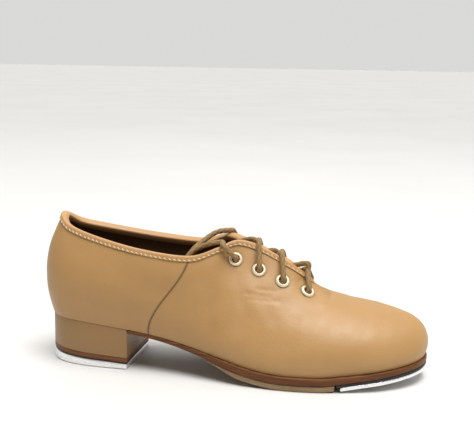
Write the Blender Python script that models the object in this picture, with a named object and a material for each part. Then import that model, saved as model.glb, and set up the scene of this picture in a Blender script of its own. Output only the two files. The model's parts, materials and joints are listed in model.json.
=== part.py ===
"""A right-foot lace-up tap shoe, modelled piece by piece.

Frame: +X towards the toe, +Y towards the inner (medial) side of the foot, +Z up. The origin is
on the floor in the middle of the shoe's bounding box. Lengths below are millimetres along the
shoe, with x counted from near the back of the heel; point() moves them into the frame in metres.
"""

import math

import bmesh
import bpy
import numpy as np
from mathutils import Matrix, Vector

MM = 0.001
FRAME_X = 129.1
FRAME_Y = -0.5
GAP = 0.3

# ---- the last: ribs from the heel back (0) round the outer side to the toe tip (15) ----
# Each rib is one line up the side of the upper. Its row holds, in mm: the feather point (x, y)
# where upper meets sole, the top point (x, y, z) on the topline, facing edge or ridge, the lower
# handle (outward, up) and the upper handle (outward, down) of the curve between the two points.
OUTER_RIBS = (
    ((-2.5, 0.0), (5.0, 0.0, 103.7), (8.5, 24), (14, 26)),
    ((1.5, -12.5), (7.2, -8.0, 101.5), (8, 24), (13, 24)),
    ((12.0, -22.5), (15.5, -14.5, 96.0), (7, 24), (11, 23)),
    ((30.0, -28.0), (38.0, -21.0, 90.0), (6, 23), (9, 21)),
    ((53.0, -29.5), (70.0, -25.5, 84.0), (6, 21), (8, 18)),
    ((76.0, -30.5), (103.0, -26.0, 81.3), (6, 20), (7, 17)),
    ((100.0, -33.5), (122.0, -19.5, 87.0), (6, 21), (10, 19)),
    ((122.0, -38.5), (134.5, -11.0, 91.2), (6, 23), (12, 21)),
    ((145.0, -43.0), (150.0, -8.5, 87.0), (5, 24), (13, 22)),
    ((168.0, -45.5), (169.0, -7.5, 77.0), (4, 23), (15, 20)),
    ((190.0, -45.0), (190.0, 1.0, 61.5), (5.5, 22), (27, 8)),
    ((212.0, -40.5), (207.0, 2.5, 54.0), (6.5, 20), (28, 2)),
    ((232.0, -34.5), (221.0, 4.0, 50.5), (6.5, 19), (23, 0.5)),
    ((248.0, -25.0), (232.0, 4.5, 48.2), (6.5, 18), (19, 0.8)),
    ((259.5, -13.0), (239.5, 4.8, 46.6), (6.5, 17), (15.5, 1.4)),
    ((264.0, 3.0), (243.0, 5.0, 45.8), (6.5, 16.5), (14, 1.8)),
)
# The inner side of the foot, from the rib next to the heel back to the rib next to the toe tip.
INNER_RIBS = (
    ((1.5, 12.5), (7.2, 8.0, 101.5), (8, 24), (13, 24)),
    ((12.0, 22.5), (15.5, 14.5, 96.5), (7, 24), (11, 23)),
    ((30.0, 27.5), (38.0, 21.0, 91.5), (6, 23), (9, 21)),
    ((53.0, 27.5), (70.0, 25.5, 86.5), (6, 21), (8, 18)),
    ((76.0, 25.5), (103.0, 26.5, 84.0), (6.5, 20), (7, 17)),
    ((100.0, 26.0), (118.5, 22.2, 89.0), (7, 21), (10, 19)),
    ((122.0, 31.0), (129.5, 14.5, 90.4), (6, 23), (12, 20)),
    ((145.0, 37.5), (146.5, 8.5, 84.8), (5, 24), (14, 20)),
    ((168.0, 42.5), (167.0, 7.2, 75.6), (4, 23), (16, 18.5)),
    ((190.0, 44.5), (190.0, 1.0, 61.5), (5.5, 22), (27, 8)),
    ((212.0, 43.0), (207.0, 2.5, 54.0), (6.5, 20), (28, 2)),
    ((232.0, 39.5), (221.0, 4.0, 50.5), (6.5, 19), (23, 0.5)),
    ((248.0, 31.0), (232.0, 4.5, 48.2), (6.5, 18), (19, 0.8)),
    ((259.5, 19.0), (239.5, 4.8, 46.6), (6.5, 17), (15.5, 1.4)),
)
TOE_RIB = 15
LOOP = 2 * TOE_RIB
SEAM_RIB = 5.0
THROAT_RIB = 10.0

# Height of the feather line (underside of the upper) along the shoe.
SEAT_KEYS = (
    (-10, 33.0),
    (20, 32.2),
    (60, 28.8),
    (80, 26.2),
    (100, 22.6),
    (122, 17.8),
    (145, 12.6),
    (160, 10.2),
    (172, 9.4),
    (195, 9.4),
    (208, 10.4),
    (226, 12.1),
    (246, 14.2),
    (268, 17.2),
)

# ---- layers of the upper, as depths below its outer face ----
LEATHER = 1.3
LAYER_GAP = 0.45
BINDING_GAP = 0.7
STIFFENER_TOP = LEATHER + LAYER_GAP
STIFFENER = 0.6
LINING_TOP = STIFFENER_TOP + STIFFENER + LAYER_GAP
LINING = 0.8
UPPER_DEPTH = LINING_TOP + LINING
LASTING_MARGIN = 11.0
SEAM_GAP_RIBS = 0.009

# ---- bottom layers ----
INSOLE = 2.0
SOCK = 0.8
OUTSOLE = 5.0
WAIST_SOLE = 2.6
TOE_SOLE = 3.9
HALF_SOLE = 3.8
TAP_BOARD = 1.6
TOE_TAP = 2.3
SOLE_EDGE = 2.4
HALF_SOLE_FROM = 118.0
HALF_SOLE_TO = 205.6
TOE_BOARD_FROM = 207.2
TOE_TAP_FROM = 209.6
SHANK_WIDTH = 12.0
SHANK_FROM = 28.0
SHANK_TO = 138.0

# ---- heel ----
BREAST_X = 60.0
HEEL_BACK_X = -2.3
HEEL_TAP_BACK = 6.3
HEEL_TAP_FRONT = 3.4
HEEL_BOARD = 0.6
TOP_LIFT = 3.2
HEEL_COVER = 0.9

# ---- screws and nails ----
SCREW_HEAD_R = 3.1
SCREW_SHANK_R = 1.5
SCREW_HEAD_DEPTH = 1.7
SCREW_LENGTH = 9.0
HEEL_SCREWS = ((13.0, 0.0), (47.0, -16.0), (47.0, 15.0))
TOE_SCREWS = ((219.0, -24.0), (219.0, 26.0), (251.0, 3.5))
HEEL_NAILS = ((20.0, -6.0), (20.0, 6.0), (44.0, -13.5), (44.0, 12.5))
NAIL_R = 1.1
NAIL_HEAD_R = 2.6
NAIL_LENGTH = 17.0

# ---- eyelets and lace ----
EYELET_RIBS = (7.09, 8.08, 8.90, 9.66)
EYELETS_FROM_EDGE = (13.0, 15.4, 14.5, 13.4)
EYELET_BORE_R = 2.65
EYELET_BARREL = 0.45
EYELET_FLANGE_R = 4.8
EYELET_FLANGE = 0.6
LACE_R = 1.3
LACE_SAMPLES = 82
SAMPLE_TURN = 5.0
NARROW_GAP = 8.0
LACE_RIDE = 3.7
OVER_CROSSING = 2.2
UNDER_CROSSING = -3.2
INSIDE_DEPTH = UPPER_DEPTH + 3.1
AGLET_R = 1.9
AGLET_LENGTH = 12.0

# ---- tongue ----
TONGUE_ROOT_RIB = 10.8
TONGUE_TOP_RIB = 7.15
TONGUE_DEPTH = 9.8
TONGUE_ROOT_DEPTH = 5.0
TONGUE_THICKNESS = 1.4

TAN = (0.52, 0.33, 0.17)
BROWN = (0.10, 0.045, 0.022)
MATERIALS = {
    "upper_leather": (TAN, 0.45, 0.0),
    "lining_leather": (BROWN, 0.7, 0.0),
    "stiffener_board": ((0.35, 0.27, 0.18), 0.9, 0.0),
    "insole_board": ((0.30, 0.22, 0.14), 0.9, 0.0),
    "cork": ((0.36, 0.22, 0.11), 0.95, 0.0),
    "outsole_leather": ((0.19, 0.075, 0.03), 0.5, 0.0),
    "half_sole_rubber": ((0.33, 0.22, 0.12), 0.8, 0.0),
    "top_lift": ((0.17, 0.065, 0.03), 0.5, 0.0),
    "heel_wood": ((0.45, 0.30, 0.17), 0.7, 0.0),
    "black_board": ((0.012, 0.011, 0.010), 0.6, 0.0),
    "tap_metal": ((0.83, 0.83, 0.82), 0.25, 1.0),
    "steel": ((0.55, 0.55, 0.55), 0.35, 1.0),
    "eyelet_metal": ((0.80, 0.68, 0.44), 0.35, 1.0),
    "lace_cotton": ((0.43, 0.28, 0.13), 0.9, 0.0),
    "aglet_plastic": ((0.40, 0.26, 0.13), 0.3, 0.0),
}


# ------------------------------------------------------------------ scene and meshes
def clear_scene():
    for obj in list(bpy.data.objects):
        bpy.data.objects.remove(obj, do_unlink=True)


def material(name):
    """The Principled material of this name, made the first time it is asked for."""
    found = bpy.data.materials.get(name)
    if found:
        return found
    colour, roughness, metallic = MATERIALS[name]
    made = bpy.data.materials.new(name)
    made.use_nodes = True
    shader = made.node_tree.nodes["Principled BSDF"]
    shader.inputs["Base Color"].default_value = (*colour, 1.0)
    shader.inputs["Roughness"].default_value = roughness
    shader.inputs["Metallic"].default_value = metallic
    made.diffuse_color = (*colour, 1.0)
    return made


def point(p):
    """Shoe millimetres to metres in the frame."""
    return ((p[0] - FRAME_X) * MM, (p[1] - FRAME_Y) * MM, p[2] * MM)


def add_object(name, points, faces, material_name, sharp_degrees=40.0):
    mesh = bpy.data.meshes.new(name)
    mesh.from_pydata([point(p) for p in points], [], faces)
    mesh.validate()
    tool = bmesh.new()
    tool.from_mesh(mesh)
    bmesh.ops.recalc_face_normals(tool, faces=tool.faces)
    bmesh.ops.triangulate(tool, faces=tool.faces)
    tool.to_mesh(mesh)
    tool.free()
    mesh.shade_smooth()
    mesh.set_sharp_from_angle(angle=math.radians(sharp_degrees))
    mesh.materials.append(material(material_name))
    obj = bpy.data.objects.new(name, mesh)
    bpy.context.scene.collection.objects.link(obj)
    return obj


def set_origin(obj, origin):
    """Puts the object's origin at this place in the frame and leaves its mesh where it is."""
    obj.data.transform(Matrix.Translation(-Vector(origin)))
    obj.location = origin


def cut(obj, cutter):
    """Takes the cutter out of the object, and hides the cutter from the build."""
    modifier = obj.modifiers.new("cut_" + cutter.name, "BOOLEAN")
    modifier.operation = "DIFFERENCE"
    modifier.solver = "EXACT"
    modifier.object = cutter
    cutter.hide_render = True
    cutter.display_type = "WIRE"


# ------------------------------------------------------------------ curves
def rib_rows():
    """All ribs in one closed loop of numbers: outer side to the toe tip, then the inner side back."""
    rows = list(OUTER_RIBS) + list(reversed(INNER_RIBS))
    return np.array([[*foot, *top, *low, *high] for foot, top, low, high in rows], float)


RIBS = rib_rows()


def rib(w):
    """The rib row at loop position w, by a Catmull-Rom spline through the rows."""
    base = math.floor(w)
    u = w - base
    p0, p1, p2, p3 = (RIBS[(base + k) % LOOP] for k in (-1, 0, 1, 2))
    return (
        p1
        + 0.5 * u * (p2 - p0)
        + u * u * (p0 - 2.5 * p1 + 2 * p2 - 0.5 * p3)
        + u**3 * (1.5 * (p1 - p2) + 0.5 * (p3 - p0))
    )


def monotone(keys, x):
    """A smooth curve through (x, value) keys that doesn't overshoot between them."""
    xs, ys = np.array(keys, float).T
    x = min(max(x, xs[0]), xs[-1])
    k = min(int(np.searchsorted(xs, x, side="right")) - 1, len(xs) - 2)
    slopes = np.diff(ys) / np.diff(xs)

    def tangent(i):
        if i in (0, len(xs) - 1):
            return slopes[min(i, len(slopes) - 1)]
        before, after = slopes[i - 1], slopes[i]
        return 0.0 if before * after <= 0 else 2 * before * after / (before + after)

    step = xs[k + 1] - xs[k]
    u = (x - xs[k]) / step
    return (
        (1 + 2 * u) * (1 - u) ** 2 * ys[k]
        + u * (1 - u) ** 2 * step * tangent(k)
        + u * u * (3 - 2 * u) * ys[k + 1]
        + u * u * (u - 1) * step * tangent(k + 1)
    )


def seat(x):
    return monotone(SEAT_KEYS, x)


def outward(w):
    """Level unit vector pointing out of the footprint at w."""
    step = 0.02
    along = rib(w + step)[:2] - rib(w - step)[:2]
    along /= np.linalg.norm(along)
    return np.array([along[1], -along[0], 0.0])


def feather(w, inset=0.0):
    """The feather point at w, moved into the footprint by inset."""
    x, y = rib(w)[:2] - outward(w)[:2] * inset
    return np.array([x, y, seat(x)])


def is_ridge(w):
    """Whether the upper closes over the foot at w, in front of the throat."""
    return THROAT_RIB <= w % LOOP <= LOOP - THROAT_RIB


def top(w):
    found = rib(w)[2:5]
    return 0.5 * (found + rib(LOOP - w)[2:5]) if is_ridge(w) else found


def upper_point(w, t):
    """The upper's outer face: w runs round the foot, t from the feather line (0) to the top (1)."""
    row, out = rib(w), outward(w)
    start, end = feather(w), top(w)
    low = start + out * row[5] + np.array([0, 0, row[6]])
    high = end + out * row[7] - np.array([0, 0, row[8]])
    s = 1 - t
    return s**3 * start + 3 * s * s * t * low + 3 * s * t * t * high + t**3 * end


def upper_normal(w, t):
    step = 0.02
    t = min(max(t, step), 0.97)
    along = upper_point(w + step, t) - upper_point(w - step, t)
    up = upper_point(w, t + step) - upper_point(w, t - step)
    normal = np.cross(along, up)
    return normal / np.linalg.norm(normal)


def t_above_seat(w, height):
    """Where on the rib at w the upper reaches this height above the feather line."""
    low, high = 0.0, 0.5
    floor = feather(w)[2]
    for _ in range(30):
        middle = 0.5 * (low + high)
        if upper_point(w, middle)[2] - floor < height:
            low = middle
        else:
            high = middle
    return high


# ------------------------------------------------------------------ shells
class Sheet:
    """Points with offset directions, and the faces between them."""

    def __init__(self):
        self.points, self.directions, self.faces = [], [], []

    def add(self, p, direction):
        self.points.append(np.array(p, float))
        self.directions.append(np.array(direction, float))
        return len(self.points) - 1


def shell_parts(sheet, outer, inner):
    """(points, faces) of the closed solid between two offsets of a sheet."""
    count = len(sheet.points)
    points = [p + d * outer for p, d in zip(sheet.points, sheet.directions)]
    points += [p + d * inner for p, d in zip(sheet.points, sheet.directions)]
    faces = [tuple(f) for f in sheet.faces]
    faces += [tuple(k + count for k in reversed(f)) for f in sheet.faces]
    edges = {}
    for face in sheet.faces:
        for a, b in zip(face, face[1:] + face[:1]):
            edges[(a, b)] = True
    faces += [(b, a, a + count, b + count) for a, b in edges if (b, a) not in edges]
    return points, faces


def grid_faces(columns):
    """Quads between neighbouring columns of point numbers, leaving out collapsed corners."""
    faces = []
    for left, right in zip(columns, columns[1:]):
        for k in range(len(left) - 1):
            corners = [left[k], right[k], right[k + 1], left[k + 1]]
            kept = [c for n, c in enumerate(corners) if c != corners[n - 1]]
            if len(set(kept)) >= 3:
                faces.append(kept)
    return faces


def spaced(start, end, step):
    return np.linspace(start, end, max(2, round(abs(end - start) / step) + 1))


def upper_sheet(positions, rows_at, margin=0.0):
    """The upper's outer face over these loop positions. rows_at(w) lists the t values of a column."""
    sheet, columns, ridge = Sheet(), [], {}
    for w in positions:
        out = outward(w)
        column = []
        if margin:
            column.append(sheet.add(feather(w, margin), (0, 0, -1)))
            column.append(sheet.add(feather(w), out - np.array([0, 0, 1.0])))
        for t in rows_at(w):
            if t >= 1.0 and is_ridge(w):
                key = round(min(w, LOOP - w), 4)
                if key not in ridge:
                    both = upper_normal(w, 1.0) + upper_normal(LOOP - w, 1.0)
                    both = both / np.linalg.norm(both)
                    ridge[key] = sheet.add(upper_point(w, 1.0), both)
                column.append(ridge[key])
            else:
                column.append(sheet.add(upper_point(w, t), upper_normal(w, t)))
        columns.append(column)
    sheet.faces = grid_faces(columns)
    return sheet


def add_shell(name, sheet, outer, inner, material_name):
    points, faces = shell_parts(sheet, -outer, -inner)
    return add_object(name, points, faces, material_name)


# ------------------------------------------------------------------ upper
WALL_ROWS = (0.07, 0.18, 0.32, 0.46, 0.6, 0.74, 0.88, 1.0)
LINING_FOOT = INSOLE + LEATHER + 3 * GAP


def vamp_positions():
    inner_end = LOOP - SEAM_RIB - SEAM_GAP_RIBS
    rear = list(spaced(SEAM_RIB + SEAM_GAP_RIBS, 9.5, 0.5))
    front = list(spaced(THROAT_RIB, LOOP - THROAT_RIB, 0.5))
    return rear + front + list(spaced(LOOP - 9.5, inner_end, 0.5))


def quarter_positions():
    end = SEAM_RIB - SEAM_GAP_RIBS
    return spaced(-end, end, 0.5)


def add_upper_leathers():
    vamp = upper_sheet(vamp_positions(), lambda w: WALL_ROWS, LASTING_MARGIN)
    quarter = upper_sheet(quarter_positions(), lambda w: WALL_ROWS, LASTING_MARGIN)
    return [
        add_shell("vamp", vamp, 0.0, LEATHER, "upper_leather"),
        add_shell("quarter", quarter, 0.0, LEATHER, "upper_leather"),
    ]


def rows_from_insole(w, t_top, rows):
    """Even rows from the top of the insole board up to t_top."""
    return [*np.linspace(t_above_seat(w, LINING_FOOT), t_top, rows)]


def add_linings():
    def to_edge(w):
        return rows_from_insole(w, 1.0, 8)

    vamp = upper_sheet(vamp_positions(), to_edge)
    quarter = upper_sheet(quarter_positions(), to_edge)
    return [
        add_shell("vamp_lining", vamp, LINING_TOP, UPPER_DEPTH, "lining_leather"),
        add_shell("quarter_lining", quarter, LINING_TOP, UPPER_DEPTH, "lining_leather"),
    ]


def add_stiffeners():
    """The toe puff and the heel counter, between leather and lining."""

    def puff_rows(w):
        reach = max(0.0, 1 - ((w - TOE_RIB) / 3.4) ** 2)
        return rows_from_insole(w, 0.42 + 0.5 * math.sqrt(reach), 6)

    def counter_rows(w):
        reach = 1 - (w / 4.2) ** 2
        return rows_from_insole(w, 0.3 + 0.36 * math.sqrt(max(0.0, reach)), 5)

    puff = upper_sheet(spaced(TOE_RIB - 3.3, TOE_RIB + 3.3, 0.55), puff_rows)
    counter = upper_sheet(spaced(-4.0, 4.0, 0.5), counter_rows)
    bottom = STIFFENER_TOP + STIFFENER
    add_shell("toe_puff", puff, STIFFENER_TOP, bottom, "stiffener_board")
    add_shell("heel_counter", counter, STIFFENER_TOP, bottom, "stiffener_board")


def add_facing_stays():
    """A strip behind each row of eyelets."""
    stays = []
    bottom = STIFFENER_TOP + STIFFENER
    for name, sign in (("facing_stay_outer", 1), ("facing_stay_inner", -1)):
        positions = [w for w in vamp_positions() if 6.9 < sign * w % LOOP < 9.9]
        sheet = upper_sheet(positions, lambda w: WALL_ROWS[3:-1])
        stays.append(add_shell(name, sheet, STIFFENER_TOP, bottom, "stiffener_board"))
    return stays


def edge_frame(w):
    """(place, outward normal, direction down the side) at the top edge of the upper."""
    normal = upper_normal(w, 1.0)
    down = upper_point(w, 0.97) - upper_point(w, 1.0)
    down -= normal * (down @ normal)
    return upper_point(w, 1.0), normal, down / np.linalg.norm(down)


def add_collar_binding():
    """A folded leather strip over the edge, from throat base round the heel to throat base."""
    skin = 0.65
    face, back = BINDING_GAP, -UPPER_DEPTH - BINDING_GAP
    lip, flap = -0.35, 3.3
    profile = (
        (face, flap),
        (face + skin, flap),
        (face + skin, lip + 0.2),
        (face - 0.1, lip - 0.7),
        (0.5 * (face + back), lip - 1.0),
        (back + 0.1, lip - 0.7),
        (back - skin, lip + 0.2),
        (back - skin, flap - 0.4),
        (back, flap - 0.4),
        (back, lip),
        (face, lip),
    )
    points, rings = [], []
    positions = vamp_positions()
    outer = [w for w in positions if w < 9.6]
    inner = [w - LOOP for w in positions if w > LOOP - 9.6]
    for w in [*inner, *quarter_positions(), *outer]:
        place, normal, down = edge_frame(w)
        rings.append([len(points) + k for k in range(len(profile))])
        points += [place + normal * n + down * d for n, d in profile]
    faces = [tuple(rings[0]), tuple(reversed(rings[-1]))]
    for near, far in zip(rings, rings[1:]):
        for k in range(len(profile)):
            after = (k + 1) % len(profile)
            faces.append((near[k], far[k], far[after], near[after]))
    add_object("collar_binding", points, faces, "upper_leather")


# ------------------------------------------------------------------ eyelets
def eyelet_frames():
    """[(name, centre on the outer face, outward normal)], back to front on each side."""
    frames = []
    for side, sign in (("outer", 1), ("inner", -1)):
        for number, (position, reach) in enumerate(zip(EYELET_RIBS, EYELETS_FROM_EDGE), 1):
            w = sign * position % LOOP
            t = 1.0
            while np.linalg.norm(upper_point(w, t) - upper_point(w, 1.0)) < reach:
                t -= 0.002
            frames.append((f"eyelet_{side}_{number}", upper_point(w, t), upper_normal(w, t)))
    return frames


def revolve(centre, axis, profile, sides):
    """(points, faces) of a closed ring profile of (radius, height) turned about an axis."""
    helper = np.array([1.0, 0, 0]) if abs(axis[0]) < 0.8 else np.array([0, 1.0, 0])
    u = np.cross(axis, helper)
    u /= np.linalg.norm(u)
    v = np.cross(axis, u)
    points, faces = [], []
    count = len(profile)
    for k in range(sides):
        angle = 2 * math.pi * k / sides
        spoke = math.cos(angle) * u + math.sin(angle) * v
        points += [centre + spoke * r + axis * h for r, h in profile]
    for k in range(sides):
        here, there = k * count, (k + 1) % sides * count
        for n in range(count):
            after = (n + 1) % count
            faces.append((here + n, here + after, there + after, there + n))
    return points, faces


def add_eyelets():
    face = LAYER_GAP + 0.15
    back = -UPPER_DEPTH - BINDING_GAP
    profile = (
        (EYELET_BORE_R, face + 0.4 * EYELET_FLANGE),
        (EYELET_BORE_R + 0.5, face + EYELET_FLANGE),
        (EYELET_FLANGE_R - 0.8, face + EYELET_FLANGE),
        (EYELET_FLANGE_R, face),
        (EYELET_BORE_R + EYELET_BARREL, face),
        (EYELET_BORE_R + EYELET_BARREL, back),
        (EYELET_FLANGE_R - 1.2, back),
        (EYELET_FLANGE_R - 1.2, back - 0.4),
        (EYELET_BORE_R, back - 0.4),
    )
    for name, centre, normal in eyelet_frames():
        points, faces = revolve(centre, normal, profile, 12)
        add_object(name, points, faces, "eyelet_metal")


def add_eyelet_cutter():
    """Eight rods through the upper, a little wider than the eyelets' barrels."""
    points, faces = [], []
    radius = EYELET_BORE_R + EYELET_BARREL + GAP
    sides = 10
    for _, centre, normal in eyelet_frames():
        ring, _ = revolve(centre, normal, ((radius, 3.0), (radius, -8.0)), sides)
        first = len(points)
        points += ring
        faces.append(tuple(first + 2 * k for k in range(sides)))
        faces.append(tuple(first + 2 * k + 1 for k in reversed(range(sides))))
        for k in range(sides):
            after = (k + 1) % sides
            faces.append(
                (first + 2 * k, first + 2 * k + 1, first + 2 * after + 1, first + 2 * after)
            )
    return add_object("eyelet_cutter", points, faces, "steel")


# ------------------------------------------------------------------ tongue
def smoothstep(x):
    x = min(max(x, 0.0), 1.0)
    return x * x * (3 - 2 * x)


def tongue_section(s):
    """Five points across the tongue at s, from its root (0) to its top (1)."""
    w = TONGUE_ROOT_RIB + (TONGUE_TOP_RIB - TONGUE_ROOT_RIB) * s
    depth = TONGUE_ROOT_DEPTH + (TONGUE_DEPTH - TONGUE_ROOT_DEPTH) * smoothstep(s / 0.2)
    reach = 0.74 - 0.14 * smoothstep(s)

    def under(position, t):
        return upper_point(position, t) - upper_normal(position, t) * depth

    low_outer, low_inner = under(w, reach), under(LOOP - w, reach)
    high_outer, high_inner = under(w, 0.9), under(LOOP - w, 0.9)
    middle = 0.5 * (high_outer + high_inner)
    middle[2] += 0.06 * np.linalg.norm(high_outer - high_inner)
    return low_outer, high_outer, middle, high_inner, low_inner


def add_tongue():
    sheet, columns = Sheet(), []
    for s in np.linspace(0, 1, 12):
        points = tongue_section(s)
        around = [2 * points[0] - points[1], *points, 2 * points[-1] - points[-2]]
        across = []
        for k in range(4):
            p0, p1, p2, p3 = around[k : k + 4]
            across.append(p1)
            across.append((-p0 + 9 * p1 + 9 * p2 - p3) / 16)
        across.append(points[-1])
        columns.append([sheet.add(p, (0, 0, 1.0)) for p in across])
    sheet.faces = grid_faces(columns)
    rows = len(columns[0])
    grid = np.array(sheet.points).reshape(len(columns), rows, 3)
    along = np.gradient(grid, axis=0)
    across = np.gradient(grid, axis=1)
    normals = np.cross(across, along)
    normals /= np.linalg.norm(normals, axis=2, keepdims=True)
    if normals[..., 2].sum() < 0:
        normals = -normals
    sheet.directions = list(normals.reshape(-1, 3))
    tongue = add_shell("tongue", sheet, 0.0, TONGUE_THICKNESS, "lining_leather")
    set_origin(tongue, point(tongue_section(0.0)[2]))


# ------------------------------------------------------------------ bottom
def w_at(x):
    """The loop position on the outer side whose feather point is at x."""
    low, high = 0.0, float(TOE_RIB)
    for _ in range(40):
        middle = 0.5 * (low + high)
        if rib(middle)[0] < x:
            low = middle
        else:
            high = middle
    return 0.5 * (low + high)


def slab_parts(x_from, x_to, inset, z_top, z_bottom, step=0.5):
    """A solid between two height functions of x, whose outline is the footprint less inset(w).

    x_from None starts it at the back of the heel, and x_to None ends it at the toe tip.
    """
    start = 0.0 if x_from is None else w_at(x_from)
    end = float(TOE_RIB) if x_to is None else w_at(x_to)
    tops, bottoms, points = [], [], []
    for w in spaced(start, end, step):
        ends = [feather(w, inset(w)), feather(LOOP - w, inset(w))]
        if w in (0.0, float(TOE_RIB)):
            ends = ends[:1]
        elif x_from is not None and w == start:
            ends = [np.array([x_from, e[1], 0]) for e in ends]
        elif x_to is not None and w == end:
            ends = [np.array([x_to, e[1], 0]) for e in ends]
        for store, height in ((tops, z_top), (bottoms, z_bottom)):
            store.append([])
            for e in ends:
                points.append(np.array([e[0], e[1], height(e[0])]))
                store[-1].append(len(points) - 1)
    tops = [t if len(t) == 2 else t * 2 for t in tops]
    bottoms = [b if len(b) == 2 else b * 2 for b in bottoms]
    faces = []
    for k in range(len(tops) - 1):
        faces.append((tops[k][0], tops[k + 1][0], tops[k + 1][1], tops[k][1]))
        faces.append((bottoms[k][1], bottoms[k + 1][1], bottoms[k + 1][0], bottoms[k][0]))
        for side in (0, 1):
            faces.append(
                (tops[k][side], bottoms[k][side], bottoms[k + 1][side], tops[k + 1][side])
            )
    for k in (0, -1):
        faces.append((tops[k][0], tops[k][1], bottoms[k][1], bottoms[k][0]))
    return points, [clean_face(f) for f in faces if len(set(f)) >= 3]


def clean_face(face):
    return tuple(c for n, c in enumerate(face) if c != face[n - 1])


def add_slab(name, x_from, x_to, inset, z_top, z_bottom, material_name):
    points, faces = slab_parts(x_from, x_to, inset, z_top, z_bottom)
    return add_object(name, points, faces, material_name)


def outsole_thickness(x):
    waist = ((0, WAIST_SOLE), (80, WAIST_SOLE), (105, 3.2))
    keys = (*waist, (145, OUTSOLE), (206, OUTSOLE), (224, 4.2), (268, TOE_SOLE))
    return monotone(keys, x)


def outsole_top(x):
    return seat(x) - GAP


def outsole_bottom(x):
    return outsole_top(x) - outsole_thickness(x)


def sole_overhang(w):
    """How far the outsole's edge stands out past the feather line."""
    keys = ((0, 0.4), (4.4, 0.4), (6.5, 1.4), (8, SOLE_EDGE), (11.5, SOLE_EDGE), (15, 1.2))
    return monotone(keys, w)


def half_sole_bottom(x):
    """Skived to a thin edge at the waist, and flat where it stands on the floor."""
    skive = smoothstep((x - HALF_SOLE_FROM) / 24.0)
    depth = 0.9 + (HALF_SOLE - 0.9) * skive
    return max(0.0, outsole_bottom(x) - GAP - depth)


def toe_tap_bottom(x):
    return outsole_bottom(x) - 2 * GAP - TAP_BOARD - TOE_TAP


def add_bottom():
    margin_top = LEATHER + GAP

    def insole_inset(w):
        return LEATHER + 3 * GAP

    add_slab(
        "insole_board",
        None,
        None,
        insole_inset,
        lambda x: seat(x) + margin_top + INSOLE,
        lambda x: seat(x) + margin_top,
        "insole_board",
    )
    add_slab(
        "sock_liner",
        None,
        None,
        lambda w: UPPER_DEPTH + 1.2,
        lambda x: seat(x) + margin_top + INSOLE + GAP + SOCK,
        lambda x: seat(x) + margin_top + INSOLE + GAP,
        "lining_leather",
    )
    add_slab(
        "bottom_filler",
        SHANK_TO + 4,
        216.0,
        lambda w: LASTING_MARGIN + 1.5,
        lambda x: seat(x) + LEATHER - 0.1,
        lambda x: seat(x),
        "cork",
    )
    outsole = add_slab(
        "outsole",
        BREAST_X + 2 * GAP,
        None,
        lambda w: -sole_overhang(w),
        outsole_top,
        outsole_bottom,
        "outsole_leather",
    )
    add_slab(
        "half_sole",
        HALF_SOLE_FROM,
        HALF_SOLE_TO,
        lambda w: 0.6 - sole_overhang(w),
        lambda x: outsole_bottom(x) - GAP,
        half_sole_bottom,
        "half_sole_rubber",
    )
    toe_board = add_slab(
        "toe_tap_board",
        TOE_BOARD_FROM,
        None,
        lambda w: 0.2 - sole_overhang(w),
        lambda x: outsole_bottom(x) - GAP,
        lambda x: outsole_bottom(x) - GAP - TAP_BOARD,
        "black_board",
    )
    toe_tap = add_slab(
        "toe_tap",
        TOE_TAP_FROM,
        None,
        lambda w: 0.2 - sole_overhang(w),
        lambda x: toe_tap_bottom(x) + TOE_TAP,
        toe_tap_bottom,
        "tap_metal",
    )
    return outsole, toe_board, toe_tap


def add_shank():
    """A bowed spring-steel strip in the waist, between the two lasting margins."""
    sheet, columns = Sheet(), []
    for x in np.linspace(SHANK_FROM, SHANK_TO, 12):
        middle = 0.5 * (feather(w_at(x))[1] + feather(LOOP - w_at(x))[1])
        sides = (-0.5 * SHANK_WIDTH, 0.0, 0.5 * SHANK_WIDTH)
        columns.append([sheet.add((x, middle + side, seat(x)), (0, 0, 1.0)) for side in sides])
    sheet.faces = grid_faces(columns)
    add_shell("shank", sheet, -LEATHER + 0.1, 0.0, "steel")


# ------------------------------------------------------------------ heel
def heel_tap_top(x):
    """The heel tap is a wedge: thick at the back, thin at the breast."""
    part = (x - HEEL_BACK_X) / (BREAST_X - HEEL_BACK_X)
    return HEEL_TAP_BACK + (HEEL_TAP_FRONT - HEEL_TAP_BACK) * part


def heel_inset(w):
    return 0.2


def add_heel():
    lift_bottom = 2 * GAP + HEEL_BOARD
    lift_top = lift_bottom + TOP_LIFT

    tap = add_slab(
        "heel_tap", None, BREAST_X, heel_inset, heel_tap_top, lambda x: 0.0, "tap_metal"
    )
    board = add_slab(
        "heel_tap_board",
        None,
        BREAST_X,
        lambda w: 0.5,
        lambda x: heel_tap_top(x) + GAP + HEEL_BOARD,
        lambda x: heel_tap_top(x) + GAP,
        "black_board",
    )
    lift = add_slab(
        "heel_top_lift",
        None,
        BREAST_X,
        heel_inset,
        lambda x: heel_tap_top(x) + lift_top,
        lambda x: heel_tap_top(x) + lift_bottom,
        "top_lift",
    )

    def block_bottom(x):
        return heel_tap_top(x) + lift_top + GAP

    def block_top(x):
        return seat(x) - GAP

    core = HEEL_COVER + GAP
    block = add_slab(
        "heel_block",
        None,
        BREAST_X - core,
        lambda w: heel_inset(w) + core,
        block_top,
        block_bottom,
        "heel_wood",
    )
    add_heel_cover(block_bottom, block_top)
    return tap, board, lift, block


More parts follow.
